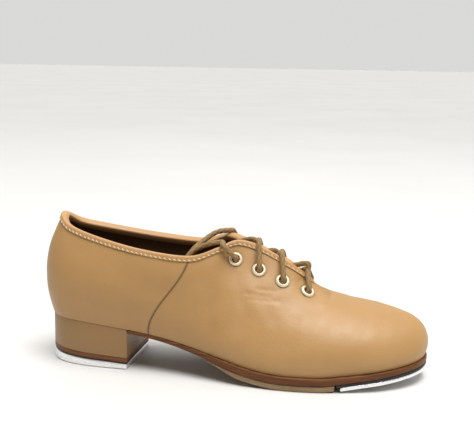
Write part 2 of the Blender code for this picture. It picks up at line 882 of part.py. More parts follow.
def add_heel_cover(block_bottom, block_top):
    """Leather wrapped round the heel block, with its closed ring cut from the block's outline."""
    outer_side = [feather(w, heel_inset(w)) for w in spaced(0.0, w_at(BREAST_X), 0.5)]
    inner_side = [feather(LOOP - w, heel_inset(w)) for w in spaced(0.0, w_at(BREAST_X), 0.5)]
    for side in (outer_side, inner_side):
        side[-1][0] = BREAST_X
    ring = [p[:2] for p in outer_side + inner_side[:0:-1]]
    sheet, columns = Sheet(), []
    for k, here in enumerate(ring):
        before = here - ring[k - 1]
        after = ring[(k + 1) % len(ring)] - here
        before = before / np.linalg.norm(before)
        after = after / np.linalg.norm(after)
        normals = [np.array([d[1], -d[0]]) for d in (before, after)]
        mitre = normals[0] + normals[1]
        mitre = mitre / (mitre @ normals[0])
        heights = (block_bottom(here[0]), block_top(here[0]))
        columns.append([sheet.add((*here, z), (*mitre, 0)) for z in heights])
    sheet.faces = grid_faces([*columns, columns[0]])
    add_shell("heel_cover", sheet, 0.0, HEEL_COVER, "upper_leather")


# ------------------------------------------------------------------ fasteners
def rod_parts(centre, axis, profile, sides):
    """(points, faces) of a solid turned from (radius, height) points, closed by flat ends."""
    points, _ = revolve(centre, axis, profile, sides)
    count = len(profile)
    faces = [
        tuple(k * count for k in range(sides)),
        tuple(k * count + count - 1 for k in reversed(range(sides))),
    ]
    for k in range(sides):
        here, there = k * count, (k + 1) % sides * count
        for n in range(count - 1):
            faces.append((here + n, here + n + 1, there + n + 1, there + n))
    return points, faces


UP = np.array([0.0, 0.0, 1.0])


def screw_profile(clearance=0.0, below=0.0):
    """A countersunk screw from its head's face up to its tip."""
    head, shank = SCREW_HEAD_R + clearance, SCREW_SHANK_R + clearance
    return (
        (head, -below),
        (head, 0.35),
        (shank, SCREW_HEAD_DEPTH),
        (shank, SCREW_LENGTH + clearance),
    )


def add_screws(places, bottom, name, pieces):
    """Screws up through a tap, its board and the sole, with a clearance hole in each piece."""
    holes_points, holes_faces = [], []
    for number, (x, y) in enumerate(places, 1):
        start = np.array([x, y, bottom(x) + 0.15])
        points, faces = rod_parts(start, UP, screw_profile(), 12)
        add_object(f"{name}_{number}", points, faces, "steel")
        points, faces = rod_parts(start, UP, screw_profile(GAP, 2.0), 12)
        holes_faces += [tuple(k + len(holes_points) for k in f) for f in faces]
        holes_points += points
    holes = add_object(f"{name}_holes", holes_points, holes_faces, "steel")
    for piece in pieces:
        cut(piece, holes)


def add_heel_nails(block):
    """Nails driven down from the insole board into the heel block."""
    head_top = LEATHER + GAP
    holes_points, holes_faces = [], []
    for number, (x, y) in enumerate(HEEL_NAILS, 1):
        start = np.array([x, y, seat(x) + head_top - GAP])
        profile = (
            (NAIL_HEAD_R, 0.0),
            (NAIL_HEAD_R, -0.8),
            (NAIL_R, -0.8),
            (NAIL_R, -NAIL_LENGTH),
        )
        points, faces = rod_parts(start, UP, profile, 10)
        add_object(f"heel_nail_{number}", points, faces, "steel")
        hole = ((NAIL_R + GAP, 3.0), (NAIL_R + GAP, -NAIL_LENGTH - GAP))
        points, faces = rod_parts(start, UP, hole, 10)
        holes_faces += [tuple(k + len(holes_points) for k in f) for f in faces]
        holes_points += points
    cut(block, add_object("heel_nail_holes", holes_points, holes_faces, "steel"))


# ------------------------------------------------------------------ lace
# The two free ends are tucked into the shoe's mouth: points from the collar's edge down into it.
OUTER_TAIL = (
    (117.5, -15.5, 90.0),
    (111.0, -14.5, 87.6),
    (105.5, -15.3, 84.9),
    (101.5, -17.3, 81.5),
    (99.0, -19.0, 76.0),
    (98.5, -20.5, 67.5),
    (102.0, -22.0, 56.5),
    (111.0, -23.0, 45.0),
    (122.0, -22.8, 35.0),
    (134.0, -21.5, 27.8),
    (147.0, -20.5, 23.3),
)
INNER_TAIL = (
    (118.5, 10.0, 93.9),
    (114.5, 6.5, 92.8),
    (110.5, 2.0, 90.4),
    (107.0, -3.5, 87.7),
    (103.8, -9.5, 84.8),
    (101.0, -12.8, 80.5),
    (99.0, -13.8, 73.0),
    (99.0, -13.0, 63.0),
    (102.5, -11.5, 51.5),
    (110.0, -9.5, 41.0),
    (121.0, -8.0, 33.0),
    (134.0, -7.2, 27.0),
)


def over_edge(w, sink=1.0, rise=0.0):
    """Two points that carry the lace round the rolled edge at w: sink 1 lets it in behind the edge."""
    edge, lift, down = edge_frame(w)
    crest = edge + lift * (LACE_RIDE - 5.2 * sink) - down * (2.3 + 1.8 * sink) + UP * rise
    return [edge + lift * LACE_RIDE - down * 0.9, crest]


def strand(start, finish, mid_lift):
    """From outside one eyelet, over its facing's edge and the gap, to inside the other eyelet."""
    (w_a, centre_a, normal_a), (w_b, centre_b, normal_b) = start, finish
    w_over = w_a + 0.2 * (LOOP - w_b - w_a)
    edge_b, lift_b, down_b = edge_frame(w_b + 0.2 * (LOOP - w_a - w_b))
    w_middle = 0.5 * (w_a + LOOP - w_b)
    gap = np.linalg.norm(top(w_over) - top(LOOP - w_over))
    sink = min(1.0, max(0.0, gap / NARROW_GAP - 1.0))
    crossing = over_edge(w_over, sink, max(0.0, mid_lift) * 1.7 * (1 - sink))
    rise = 0.5 * (centre_a + upper_point(w_over, 1.0)) + normal_a * LACE_RIDE
    middle = 0.5 * (top(w_middle) + top(LOOP - w_middle)) + UP * mid_lift
    dive = edge_b - lift_b * (UPPER_DEPTH + 4.6) - down_b * 0.2 + UP * min(0.0, mid_lift) * 0.6
    inside = centre_b - normal_b * INSIDE_DEPTH
    return [centre_a + normal_a * 2.0, rise, *crossing, middle, dive, inside]


def eyelet_places():
    """Each eyelet's (loop position, centre, normal), by side and number."""
    places = {}
    for name, centre, normal in eyelet_frames():
        side, number = name.split("_")[1], int(name.split("_")[2])
        w = EYELET_RIBS[number - 1]
        places[side, number] = (w if side == "outer" else LOOP - w, centre, normal)
    return places


def zigzag(places, first_side, mid_lift):
    """The strands up from eyelet 4 on one side to eyelet 1, changing sides at each one."""
    other = {"outer": "inner", "inner": "outer"}
    side, points = first_side, []
    for number in (4, 3, 2):
        points += strand(places[side, number], places[other[side], number - 1], mid_lift)
        side = other[side]
    return points


def tail(place, crossing_w, points):
    """Out of the top eyelet, over the collar at crossing_w and down into the mouth."""
    _, centre, normal = place
    rise = 0.5 * (centre + upper_point(crossing_w, 1.0)) + normal * LACE_RIDE
    return [centre + normal * 2.0, rise, *over_edge(crossing_w), *(np.array(p) for p in points)]


def lace_route():
    """The lace's own points, from its outer-side end to its inner-side end."""
    places = eyelet_places()
    outer_half = zigzag(places, "inner", UNDER_CROSSING)
    outer_half += tail(places["outer", 1], 6.15, OUTER_TAIL)
    inner_half = zigzag(places, "outer", OVER_CROSSING)
    inner_half += tail(places["inner", 1], LOOP - 6.4, INNER_TAIL)
    ends = [places[side, 4][1] - places[side, 4][2] * INSIDE_DEPTH for side in ("inner", "outer")]
    bar = [ends[0] + (ends[1] - ends[0]) * part for part in (0.0, 0.25, 0.5, 0.75, 1.0)]
    bar = [p + UP * rise for p, rise in zip(bar, (0.0, 2.0, 3.5, 2.0, 0.0))]
    return outer_half[::-1] + bar + inner_half


def catmull(points, steps):
    """The smooth curve through points, with this many samples to each stretch."""
    points = [2 * points[0] - points[1], *points, 2 * points[-1] - points[-2]]
    found = []
    for k in range(1, len(points) - 2):
        p0, p1, p2, p3 = points[k - 1 : k + 3]
        for u in np.arange(steps) / steps:
            found.append(
                p1
                + 0.5 * u * (p2 - p0)
                + u * u * (p0 - 2.5 * p1 + 2 * p2 - 0.5 * p3)
                + u**3 * (1.5 * (p1 - p2) + 0.5 * (p3 - p0))
            )
    return [*found, points[-2]]


def lace_samples():
    """The points of the lace's tube, closer together where it turns, and the smooth lace."""
    fine = np.array(catmull(lace_route(), 12))
    steps = np.diff(fine, axis=0)
    reach = np.linalg.norm(steps, axis=1)
    headings = steps / reach[:, None]
    turns = np.arccos(np.clip((headings[1:] * headings[:-1]).sum(axis=1), -1, 1))
    weights = reach + SAMPLE_TURN * np.concatenate([[0], turns])
    efforts = np.concatenate([[0], np.cumsum(weights)])
    lengths = np.concatenate([[0], np.cumsum(reach)])
    first, last = AGLET_LENGTH + GAP, lengths[-1] - AGLET_LENGTH - GAP
    places = np.linspace(*np.interp((first, last), lengths, efforts), LACE_SAMPLES)
    return np.array([np.interp(places, efforts, fine[:, k]) for k in range(3)]).T, fine


def add_lace():
    samples, fine = lace_samples()
    curve = bpy.data.curves.new("lace", "CURVE")
    curve.dimensions = "3D"
    curve.bevel_depth = LACE_R * MM
    curve.bevel_resolution = 2
    curve.use_fill_caps = True
    spline = curve.splines.new("POLY")
    spline.points.add(len(samples) - 1)
    for place, sample in zip(spline.points, samples):
        place.co = (*point(sample), 1.0)
    curve.materials.append(material("lace_cotton"))
    obj = bpy.data.objects.new("lace", curve)
    bpy.context.scene.collection.objects.link(obj)
    ends = (("aglet_outer", fine[0], samples[0]), ("aglet_inner", fine[-1], samples[-1]))
    for name, end, near in ends:
        axis = (end - near) / np.linalg.norm(end - near)
        profile = ((AGLET_R, GAP), (AGLET_R, AGLET_LENGTH))
        points, faces = rod_parts(near, axis, profile, 8)
        add_object(name, points, faces, "aglet_plastic")


def build():
    clear_scene()
    leathers = add_upper_leathers()
    linings = add_linings()
    add_stiffeners()
    stays = add_facing_stays()
    add_collar_binding()
    add_eyelets()
    holes = add_eyelet_cutter()
    for piece in (leathers[0], linings[0], *stays):
        cut(piece, holes)
    add_tongue()
    outsole, toe_board, toe_tap = add_bottom()
    add_shank()
    heel_tap, heel_board, lift, block = add_heel()
    add_screws(HEEL_SCREWS, lambda x: 0.0, "heel_tap_screw", (heel_tap, heel_board, lift, block))
    add_screws(TOE_SCREWS, toe_tap_bottom, "toe_tap_screw", (toe_tap, toe_board, outsole))
    add_heel_nails(block)
    add_lace()


build()
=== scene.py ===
"""The looks of a lace-up tap shoe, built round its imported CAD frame."""

import json
import math

import bpy
import numpy as np
from mathutils import Matrix, Vector


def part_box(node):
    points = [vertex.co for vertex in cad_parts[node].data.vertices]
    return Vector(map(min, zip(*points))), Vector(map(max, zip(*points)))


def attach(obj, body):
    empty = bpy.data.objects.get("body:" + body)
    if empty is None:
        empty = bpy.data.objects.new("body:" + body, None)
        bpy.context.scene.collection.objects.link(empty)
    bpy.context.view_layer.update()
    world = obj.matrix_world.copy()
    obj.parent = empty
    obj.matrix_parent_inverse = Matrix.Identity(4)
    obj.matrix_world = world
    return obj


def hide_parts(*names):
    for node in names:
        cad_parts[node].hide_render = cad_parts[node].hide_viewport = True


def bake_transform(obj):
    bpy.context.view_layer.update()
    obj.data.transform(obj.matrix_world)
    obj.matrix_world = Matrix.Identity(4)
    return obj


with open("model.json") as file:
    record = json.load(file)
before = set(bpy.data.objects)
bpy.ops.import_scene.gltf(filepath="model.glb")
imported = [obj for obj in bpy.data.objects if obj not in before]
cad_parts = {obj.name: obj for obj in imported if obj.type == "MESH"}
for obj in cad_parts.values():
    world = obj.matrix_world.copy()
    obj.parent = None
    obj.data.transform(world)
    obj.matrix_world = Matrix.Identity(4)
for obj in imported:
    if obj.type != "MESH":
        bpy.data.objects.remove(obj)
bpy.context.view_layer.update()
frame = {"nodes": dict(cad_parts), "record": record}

# ---- driving dimensions of the shoe, in millimetres, as the CAD holds them ----
MM = 0.001
GAP = 0.3
HEEL_BACK_X = -2.3
BREAST_X = 60.0
LEATHER = 1.3
LINING_TOP = 2.8
LINING = 0.8
UPPER_DEPTH = LINING_TOP + LINING
INSOLE = 2.0
SOCK = 0.8
TAP_BOARD = 1.6
TOE_TAP = 2.3
HALF_SOLE = 3.8
HALF_SOLE_FROM = 118.0
HALF_SOLE_TO = 205.6
TOE_BOARD_FROM = 207.2
TOE_TAP_FROM = 209.6
HEEL_TAP_BACK = 6.3
HEEL_TAP_FRONT = 3.4
HEEL_BOARD = 0.6
TOP_LIFT = 3.2
LINING_INSET = LEATHER + 3 * GAP

# The frame's millimetres of the shoe's own zero: its heel tap's back edge, and its middle screw.
TAP_LOW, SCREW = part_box("heel_tap")[0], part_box("heel_tap_screw_1")
ORIGIN = np.array([TAP_LOW.x / MM - HEEL_BACK_X, 0.5 * (SCREW[0].y + SCREW[1].y) / MM, 0.0])

# ---- the upper's ribs, from the heel back (0) round the outer side to the toe tip (15) ----
# Each row: feather point (x, y), top point (x, y, z), lower handle (out, up), upper handle
# (out, down). The sole's line and the topline follow from them.
OUTER_RIBS = (
    ((-2.5, 0), (5, 0, 103.7), (8.5, 24), (14, 26)),
    ((1.5, -12.5), (7.2, -8, 101.5), (8, 24), (13, 24)),
    ((12, -22.5), (15.5, -14.5, 96), (7, 24), (11, 23)),
    ((30, -28), (38, -21, 90), (6, 23), (9, 21)),
    ((53, -29.5), (70, -25.5, 84), (6, 21), (8, 18)),
    ((76, -30.5), (103, -26, 81.3), (6, 20), (7, 17)),
    ((100, -33.5), (122, -19.5, 87), (6, 21), (10, 19)),
    ((122, -38.5), (134.5, -11, 91.2), (6, 23), (12, 21)),
    ((145, -43), (150, -8.5, 87), (5, 24), (13, 22)),
    ((168, -45.5), (169, -7.5, 77), (4, 23), (15, 20)),
    ((190, -45), (190, 1, 61.5), (5.5, 22), (27, 8)),
    ((212, -40.5), (207, 2.5, 54), (6.5, 20), (28, 2)),
    ((232, -34.5), (221, 4, 50.5), (6.5, 19), (23, 0.5)),
    ((248, -25), (232, 4.5, 48.2), (6.5, 18), (19, 0.8)),
    ((259.5, -13), (239.5, 4.8, 46.6), (6.5, 17), (15.5, 1.4)),
    ((264, 3), (243, 5, 45.8), (6.5, 16.5), (14, 1.8)),
)
INNER_RIBS = (
    ((1.5, 12.5), (7.2, 8, 101.5), (8, 24), (13, 24)),
    ((12, 22.5), (15.5, 14.5, 96.5), (7, 24), (11, 23)),
    ((30, 27.5), (38, 21, 91.5), (6, 23), (9, 21)),
    ((53, 27.5), (70, 25.5, 86.5), (6, 21), (8, 18)),
    ((76, 25.5), (103, 26.5, 84), (6.5, 20), (7, 17)),
    ((100, 26), (118.5, 22.2, 89), (7, 21), (10, 19)),
    ((122, 31), (129.5, 14.5, 90.4), (6, 23), (12, 20)),
    ((145, 37.5), (146.5, 8.5, 84.8), (5, 24), (14, 20)),
    ((168, 42.5), (167, 7.2, 75.6), (4, 23), (16, 18.5)),
    ((190, 44.5), (190, 1, 61.5), (5.5, 22), (27, 8)),
    ((212, 43), (207, 2.5, 54), (6.5, 20), (28, 2)),
    ((232, 39.5), (221, 4, 50.5), (6.5, 19), (23, 0.5)),
    ((248, 31), (232, 4.5, 48.2), (6.5, 18), (19, 0.8)),
    ((259.5, 19), (239.5, 4.8, 46.6), (6.5, 17), (15.5, 1.4)),
)
TOE_RIB = 15
LOOP = 2 * TOE_RIB
SEAM_RIB = 5.0
THROAT_RIB = 10.0
RIBS = np.array([[*a, *b, *c, *d] for a, b, c, d in OUTER_RIBS + INNER_RIBS[::-1]])

SEAT_KEYS = (
    (-10, 33.0), (20, 32.2), (60, 28.8), (80, 26.2), (100, 22.6),
    (122, 17.8), (145, 12.6), (160, 10.2), (172, 9.4), (195, 9.4),
    (208, 10.4), (226, 12.1), (246, 14.2), (268, 17.2),
)
SOLE_KEYS = ((0, 2.6), (80, 2.6), (105, 3.2), (145, 5.0), (206, 5.0), (224, 4.2), (268, 3.9))
OVERHANG_KEYS = ((0, 0.4), (4.4, 0.4), (6.5, 1.4), (8, 2.4), (11.5, 2.4), (15, 1.2))

# ---- eyelets and lace ----
EYELET_RIBS = (7.09, 8.08, 8.90, 9.66)
EYELETS_FROM_EDGE = (13.0, 15.4, 14.5, 13.4)
EYELET_BORE_R = 2.65
EYELET_FLANGE_R = 4.8
EYELET_HOLE_R = 3.3
LACE_R = 1.95
LACE_STEP = 0.35
OVER_CROSSING = 2.2
UNDER_CROSSING = -3.2
OUTER_TAIL_RIB = 6.15
INNER_TAIL_RIB = LOOP - 6.4
INSIDE_DEPTH = UPPER_DEPTH + 3.1
NARROW_GAP = 8.0
LACE_RIDE = 3.7
AGLET_R = 2.1
AGLET_LENGTH = 12.0
UP = np.array([0.0, 0.0, 1.0])


# ---- the shoe's surfaces ----
def spline(p0, p1, p2, p3, u):
    """A Catmull-Rom curve's points between p1 and p2, at u from 0 to 1."""
    return (
        p1
        + 0.5 * u * (p2 - p0)
        + u * u * (p0 - 2.5 * p1 + 2 * p2 - 0.5 * p3)
        + u**3 * (1.5 * (p1 - p2) + 0.5 * (p3 - p0))
    )


def curve_through(keys, x):
    """A smooth curve through (x, value) keys that doesn't overshoot, at every x of an array."""
    xs, ys = np.array(keys, float).T
    x = np.clip(np.asarray(x, float), xs[0], xs[-1])
    slopes = np.diff(ys) / np.diff(xs)
    both = slopes[:-1] * slopes[1:]
    inner = np.where(both > 0, 2 * both / np.where(both > 0, slopes[:-1] + slopes[1:], 1), 0)
    tangents = np.concatenate([slopes[:1], inner, slopes[-1:]])
    k = np.clip(np.searchsorted(xs, x, side="right") - 1, 0, len(xs) - 2)
    step = xs[k + 1] - xs[k]
    u = (x - xs[k]) / step
    return (
        (1 + 2 * u) * (1 - u) ** 2 * ys[k]
        + u * (1 - u) ** 2 * step * tangents[k]
        + u * u * (3 - 2 * u) * ys[k + 1]
        + u * u * (u - 1) * step * tangents[k + 1]
    )


def seat(x):
    """The height of the line where the upper meets the sole, at x."""
    return curve_through(SEAT_KEYS, x)


def rib(w):
    """The rib rows at loop positions w."""
    w = np.asarray(w, float)
    base = np.floor(w).astype(int)
    return spline(*(RIBS[(base + k) % LOOP] for k in (-1, 0, 1, 2)), (w - base)[..., None])


def unit(v):
    return v / np.linalg.norm(v, axis=-1, keepdims=True)


def outward(w):
    """Level unit vectors pointing out of the footprint."""
    along = unit(rib(w + 0.02)[..., :2] - rib(w - 0.02)[..., :2])
    return np.stack([along[..., 1], -along[..., 0], np.zeros_like(along[..., 0])], -1)


def feather(w, inset=0.0):
    """Points where upper meets sole, moved into the footprint by inset."""
    w = np.asarray(w, float)
    flat = rib(w)[..., :2] - outward(w)[..., :2] * np.asarray(inset)[..., None]
    return np.concatenate([flat, seat(flat[..., 0])[..., None]], -1)


def top(w):
    """Points on the topline; past the throat both sides meet on one ridge."""
    w = np.asarray(w, float)
    here, mirrored = rib(w)[..., 2:5], rib(LOOP - w)[..., 2:5]
    turn = w % LOOP
    ridge = (turn >= THROAT_RIB) & (turn <= LOOP - THROAT_RIB)
    return np.where(ridge[..., None], 0.5 * (here + mirrored), here)


def upper_point(w, t):
    """The upper's outer face: w runs round the foot, t from the feather line (0) to the top (1)."""
    w, t = np.broadcast_arrays(np.asarray(w, float), np.asarray(t, float))
    row, out = rib(w), outward(w)
    start, end = feather(w), top(w)
    low = start + out * row[..., 5:6] + UP * row[..., 6:7]
    high = end + out * row[..., 7:8] - UP * row[..., 8:9]
    t = t[..., None]
    s = 1 - t
    return s**3 * start + 3 * s * s * t * low + 3 * s * t * t * high + t**3 * end


def upper_normal(w, t):
    t = np.clip(t, 0.02, 0.97)
    along = upper_point(w + 0.02, t) - upper_point(w - 0.02, t)
    up = upper_point(w, t + 0.02) - upper_point(w, t - 0.02)
    return unit(np.cross(along, up))


def edge_frame(w):
    """(place, outward normal, direction down the side) at the top edge of the upper."""
    normal = upper_normal(w, 1.0)
    down = upper_point(w, 0.97) - upper_point(w, 1.0)
    down = down - normal * (down * normal).sum(-1, keepdims=True)
    return upper_point(w, 1.0), normal, unit(down)


def t_above_seat(w, height):
    """Where on the rib at w the upper reaches this height above the feather line."""
    ts = np.linspace(0, 0.5, 60)
    rise = upper_point(w, ts)[:, 2] - feather(w)[2]
    return float(np.interp(height, rise, ts))


def smoothstep(x):
    x = np.clip(x, 0.0, 1.0)
    return x * x * (3 - 2 * x)


def line_lengths(line):
    """How far along a line of points each one is."""
    steps = np.linalg.norm(np.diff(line, axis=0), axis=1)
    return np.concatenate([[0], np.cumsum(steps)])


# ---- meshes ----
def to_frame(points):
    """Metres of the CAD frame from the shoe's own millimetres."""
    return (np.asarray(points, float) + ORIGIN) * MM


def place_object(name, data):
    obj = bpy.data.objects.new(name, data)
    bpy.context.scene.collection.objects.link(obj)
    return obj


def new_piece(name, points, faces, material, sharp=50.0):
    """A smooth-shaded object from shoe millimetres."""
    mesh = bpy.data.meshes.new(name)
    mesh.from_pydata(to_frame(points).tolist(), [], [tuple(map(int, f)) for f in faces])
    mesh.validate()
    mesh.shade_smooth()
    mesh.set_sharp_from_angle(angle=math.radians(sharp))
    mesh.materials.append(material)
    return place_object(name, mesh)


def vertex_normals(points, faces):
    """Area-weighted normals of a mesh of quads and triangles given as quads."""
    a, b, c, d = (points[faces[:, k]] for k in range(4))
    crosses = np.cross(c - a, d - b)
    total = np.zeros_like(points)
    for k in range(4):
        np.add.at(total, faces[:, k], crosses)
    return unit(total + 1e-12)


def grid_quads(index, closed=False):
    """Quads of a grid of point numbers, going round its first direction if closed."""
    after = np.roll(index, -1, axis=0) if closed else index[1:]
    here = index if closed else index[:-1]
    return np.stack([here[:, :-1], after[:, :-1], after[:, 1:], here[:, 1:]], -1).reshape(-1, 4)


def wrapped(index):
    """A grid of point numbers with its first column again at the end."""
    return np.concatenate([index, index[:, :1]], 1)


def tube_faces(index):
    """A closed tube's faces: quads round its rings of point numbers, and both ends."""
    quads = grid_quads(wrapped(index)).tolist()
    return [*quads, index[0][::-1].tolist(), index[-1].tolist()]


def shell(points, quads, thickness):
    """(points, faces) of a sheet thickened to the inside."""
    count = len(points)
    inner = points - vertex_normals(points, quads) * thickness
    faces = [*quads.tolist(), *(quads[:, ::-1] + count).tolist()]
    edges = {}
    for face in quads.tolist():
        for a, b in zip(face, face[1:] + face[:1]):
            if a != b:
                edges[(a, b)] = True
    faces += [(b, a, a + count, b + count) for a, b in edges if (b, a) not in edges]
    faces = [drop_repeats(f) for f in faces]
    return np.concatenate([points, inner]), [f for f in faces if len(set(f)) >= 3]


def drop_repeats(face):
    """The face without corners that come twice in a row."""
    return tuple(c for n, c in enumerate(face) if c != face[n - 1])


def paint(obj, name, values):
    """Stores one number per vertex for the materials to read; one number alone serves them all."""
    attribute = obj.data.attributes.new(name, "FLOAT", "POINT")
    spread = np.zeros(len(obj.data.vertices)) + values
    attribute.data.foreach_set("value", spread.astype(np.float32))


# ---- materials ----
class Nodes:
    """A material's node tree with short ways to add and join nodes."""

    def __init__(self, name, colour, roughness, metallic=0.0, **sockets):
        self.material = bpy.data.materials.new(name)
        self.material.use_nodes = True
        self.tree = self.material.node_tree
        self.shader = self.tree.nodes["Principled BSDF"]
        self.set("Base Color", (*colour, 1.0))
        self.set("Roughness", roughness)
        self.set("Metallic", metallic)
        for socket, value in sockets.items():
            self.set(socket.replace("_", " "), value)
        self.material.diffuse_color = (*colour, 1.0)
        self.place = self.add("ShaderNodeTexCoord").outputs["Object"]

    def set(self, socket, value):
        self.shader.inputs[socket].default_value = value

    def add(self, kind, **inputs):
        node = self.tree.nodes.new(kind)
        for socket, value in inputs.items():
            self.join(node.inputs[socket.replace("_", " ")], value)
        return node

    def join(self, socket, value):
        if isinstance(value, bpy.types.NodeSocket):
            self.tree.links.new(value, socket)
        else:
            socket.default_value = value

    def stretched(self, x, y, z):
        node = self.add("ShaderNodeMapping", Vector=self.place)
        node.inputs["Scale"].default_value = (x, y, z)
        return node.outputs["Vector"]

    def noise(self, scale, detail=2.0, rough=0.5, where=None):
        node = self.add("ShaderNodeTexNoise", Vector=where or self.place, Scale=scale)
        self.join(node.inputs["Detail"], detail)
        self.join(node.inputs["Roughness"], rough)
        return node.outputs["Fac"]

    def cells(self, scale):
        node = self.add("ShaderNodeTexVoronoi", Vector=self.place, Scale=scale)
        return node.outputs["Distance"]

    def attribute(self, name):
        node = self.add("ShaderNodeAttribute")
        node.attribute_name = name
        return node.outputs["Fac"]

    def ramp(self, value, low, high, out_low=0.0, out_high=1.0):
        node = self.add("ShaderNodeMapRange", Value=value)
        for socket, number in zip(node.inputs[1:5], (low, high, out_low, out_high)):
            socket.default_value = number
        return node.outputs["Result"]

    def mix(self, factor, a, b):
        node = self.add("ShaderNodeMix")
        node.data_type = "RGBA"
        self.join(node.inputs[0], factor)
        for socket, colour in ((node.inputs[6], a), (node.inputs[7], b)):
            self.join(socket, (*colour, 1.0) if isinstance(colour, tuple) else colour)
        return node.outputs[2]

    def times(self, a, b):
        node = self.add("ShaderNodeMath")
        node.operation = "MULTIPLY"
        self.join(node.inputs[0], a)
        self.join(node.inputs[1], b)
        return node.outputs[0]

    def bump(self, height, distance, strength=1.0, before=None):
        node = self.add("ShaderNodeBump", Height=height, Strength=strength)
        node.inputs["Distance"].default_value = distance
        if before is not None:
            self.join(node.inputs["Normal"], before)
        return node.outputs["Normal"]

    def finish(self, colour=None, roughness=None, normal=None):
        for socket, value in (("Base Color", colour), ("Roughness", roughness), ("Normal", normal)):
            if value is not None:
                self.join(self.shader.inputs[socket], value)
        return self.material


def tint(colour, factor):
    """The colour made darker by a factor."""
    return tuple(factor * c for c in colour)


def smooth_leather(name, dark, base, light, roughness, grain):
    """Dyed leather: gently varied colour, fine pores, and painted shade that darkens it where the
    mesh carries a painted shade value.
    """
    n = Nodes(name, base, roughness, Coat_Weight=0.06, Coat_Roughness=0.35, Specular_IOR_Level=0.4)
    clouds = n.ramp(n.noise(11, 3.0, 0.5), 0.25, 0.75)
    colour = n.mix(clouds, dark, base)
    patches = n.ramp(n.noise(30, 3.0, 0.55), 0.5, 0.85)
    colour = n.mix(n.times(patches, 0.4), colour, light)
    # painted shade: creases, seam lines, eyelet rims and the binding's lower edge are coloured
    # darker here
    painted_shade = n.attribute("painted_shade")
    colour = n.mix(n.ramp(painted_shade, 0.0, 1.0, 0.0, 0.75), colour, tint(dark, 0.45))
    pores = n.cells(grain)
    wrinkles = n.noise(grain * 0.3, 4.0, 0.6)
    normal = n.bump(pores, 0.00012, 0.35)
    normal = n.bump(wrinkles, 0.0006, 0.22, normal)
    rough = n.ramp(n.noise(90, 3.0), 0.3, 0.7, roughness - 0.07, roughness + 0.08)
    return n.finish(colour, rough, normal)


def edge_leather(name, dark, light):
    """The finished edge of sole leather: fine level layers and dark specks."""
    n = Nodes(name, dark, 0.5, Specular_IOR_Level=0.25)
    layers = n.noise(160, 4.0, 0.6, n.stretched(0.25, 0.25, 6.0))
    colour = n.mix(n.ramp(layers, 0.35, 0.7), dark, light)
    specks = n.ramp(n.noise(120, 5.0, 0.7), 0.58, 0.75)
    colour = n.mix(n.times(specks, 0.6), colour, tint(dark, 0.4))
    normal = n.bump(layers, 0.0004, 0.35)
    return n.finish(colour, n.ramp(layers, 0.3, 0.7, 0.38, 0.55), normal)


def speckled(name, base, other, roughness, scale, height=0.0003):
    """A plain material with fine speckle: rubber, board, cork, wood pulp."""
    n = Nodes(name, base, roughness)
    spots = n.noise(scale, 5.0, 0.7)
    colour = n.mix(n.ramp(spots, 0.35, 0.68), base, other)
    wide = n.ramp(n.noise(scale * 0.08, 3.0), 0.35, 0.7)
    colour = n.mix(n.times(wide, 0.4), colour, tint(base, 0.7))
    rough = n.ramp(wide, 0, 1, roughness - 0.08, roughness + 0.05)
    return n.finish(colour, rough, n.bump(spots, height, 0.5))


def worn_metal(name, base, shade, roughness, scale=900.0, metallic=1.0):
    """Bright metal with fine directional scratches and hazy scuffs."""
    n = Nodes(name, base, roughness, metallic)
    scratches = n.noise(scale, 3.0, 0.7, n.stretched(0.06, 1.0, 1.0))
    haze = n.ramp(n.noise(70, 4.0, 0.65), 0.4, 0.72)
    colour = n.mix(n.times(haze, 0.35), base, shade)
    rough = n.ramp(scratches, 0.35, 0.7, roughness - 0.05, roughness + 0.08)
    return n.finish(colour, rough, n.bump(scratches, 0.00002, 0.3))


def braid_cotton(name, dark, base, light):
    """Braided thread: the painted 'strand' height colours the valleys between its yarns darker, as
    painted shade.
    """
    n = Nodes(name, base, 0.85, Sheen_Weight=0.08, Sheen_Roughness=0.5)
    strand = n.attribute("strand")
    colour = n.mix(n.ramp(strand, 0.0, 0.8), dark, base)
    fibres = n.noise(2600, 3.0, 0.6)
    colour = n.mix(n.ramp(fibres, 0.45, 0.75, 0.0, 0.6), colour, light)
    return n.finish(colour, None, n.bump(fibres, 0.00015, 0.5))


def thread(name, base):
    n = Nodes(name, base, 0.6, Sheen_Weight=0.2)
    twist = n.noise(3000, 2.0)
    colour = n.mix(n.ramp(twist, 0.4, 0.65), base, tint(base, 0.7))
    return n.finish(colour, None, n.bump(twist, 0.0001, 0.5))


def wood_grain(name, base, dark):
    n = Nodes(name, base, 0.6)
    rings = n.noise(70, 4.0, 0.6, n.stretched(0.15, 1.0, 1.0))
    colour = n.mix(n.ramp(rings, 0.4, 0.6), base, dark)
    return n.finish(colour, None, n.bump(rings, 0.0003, 0.4))


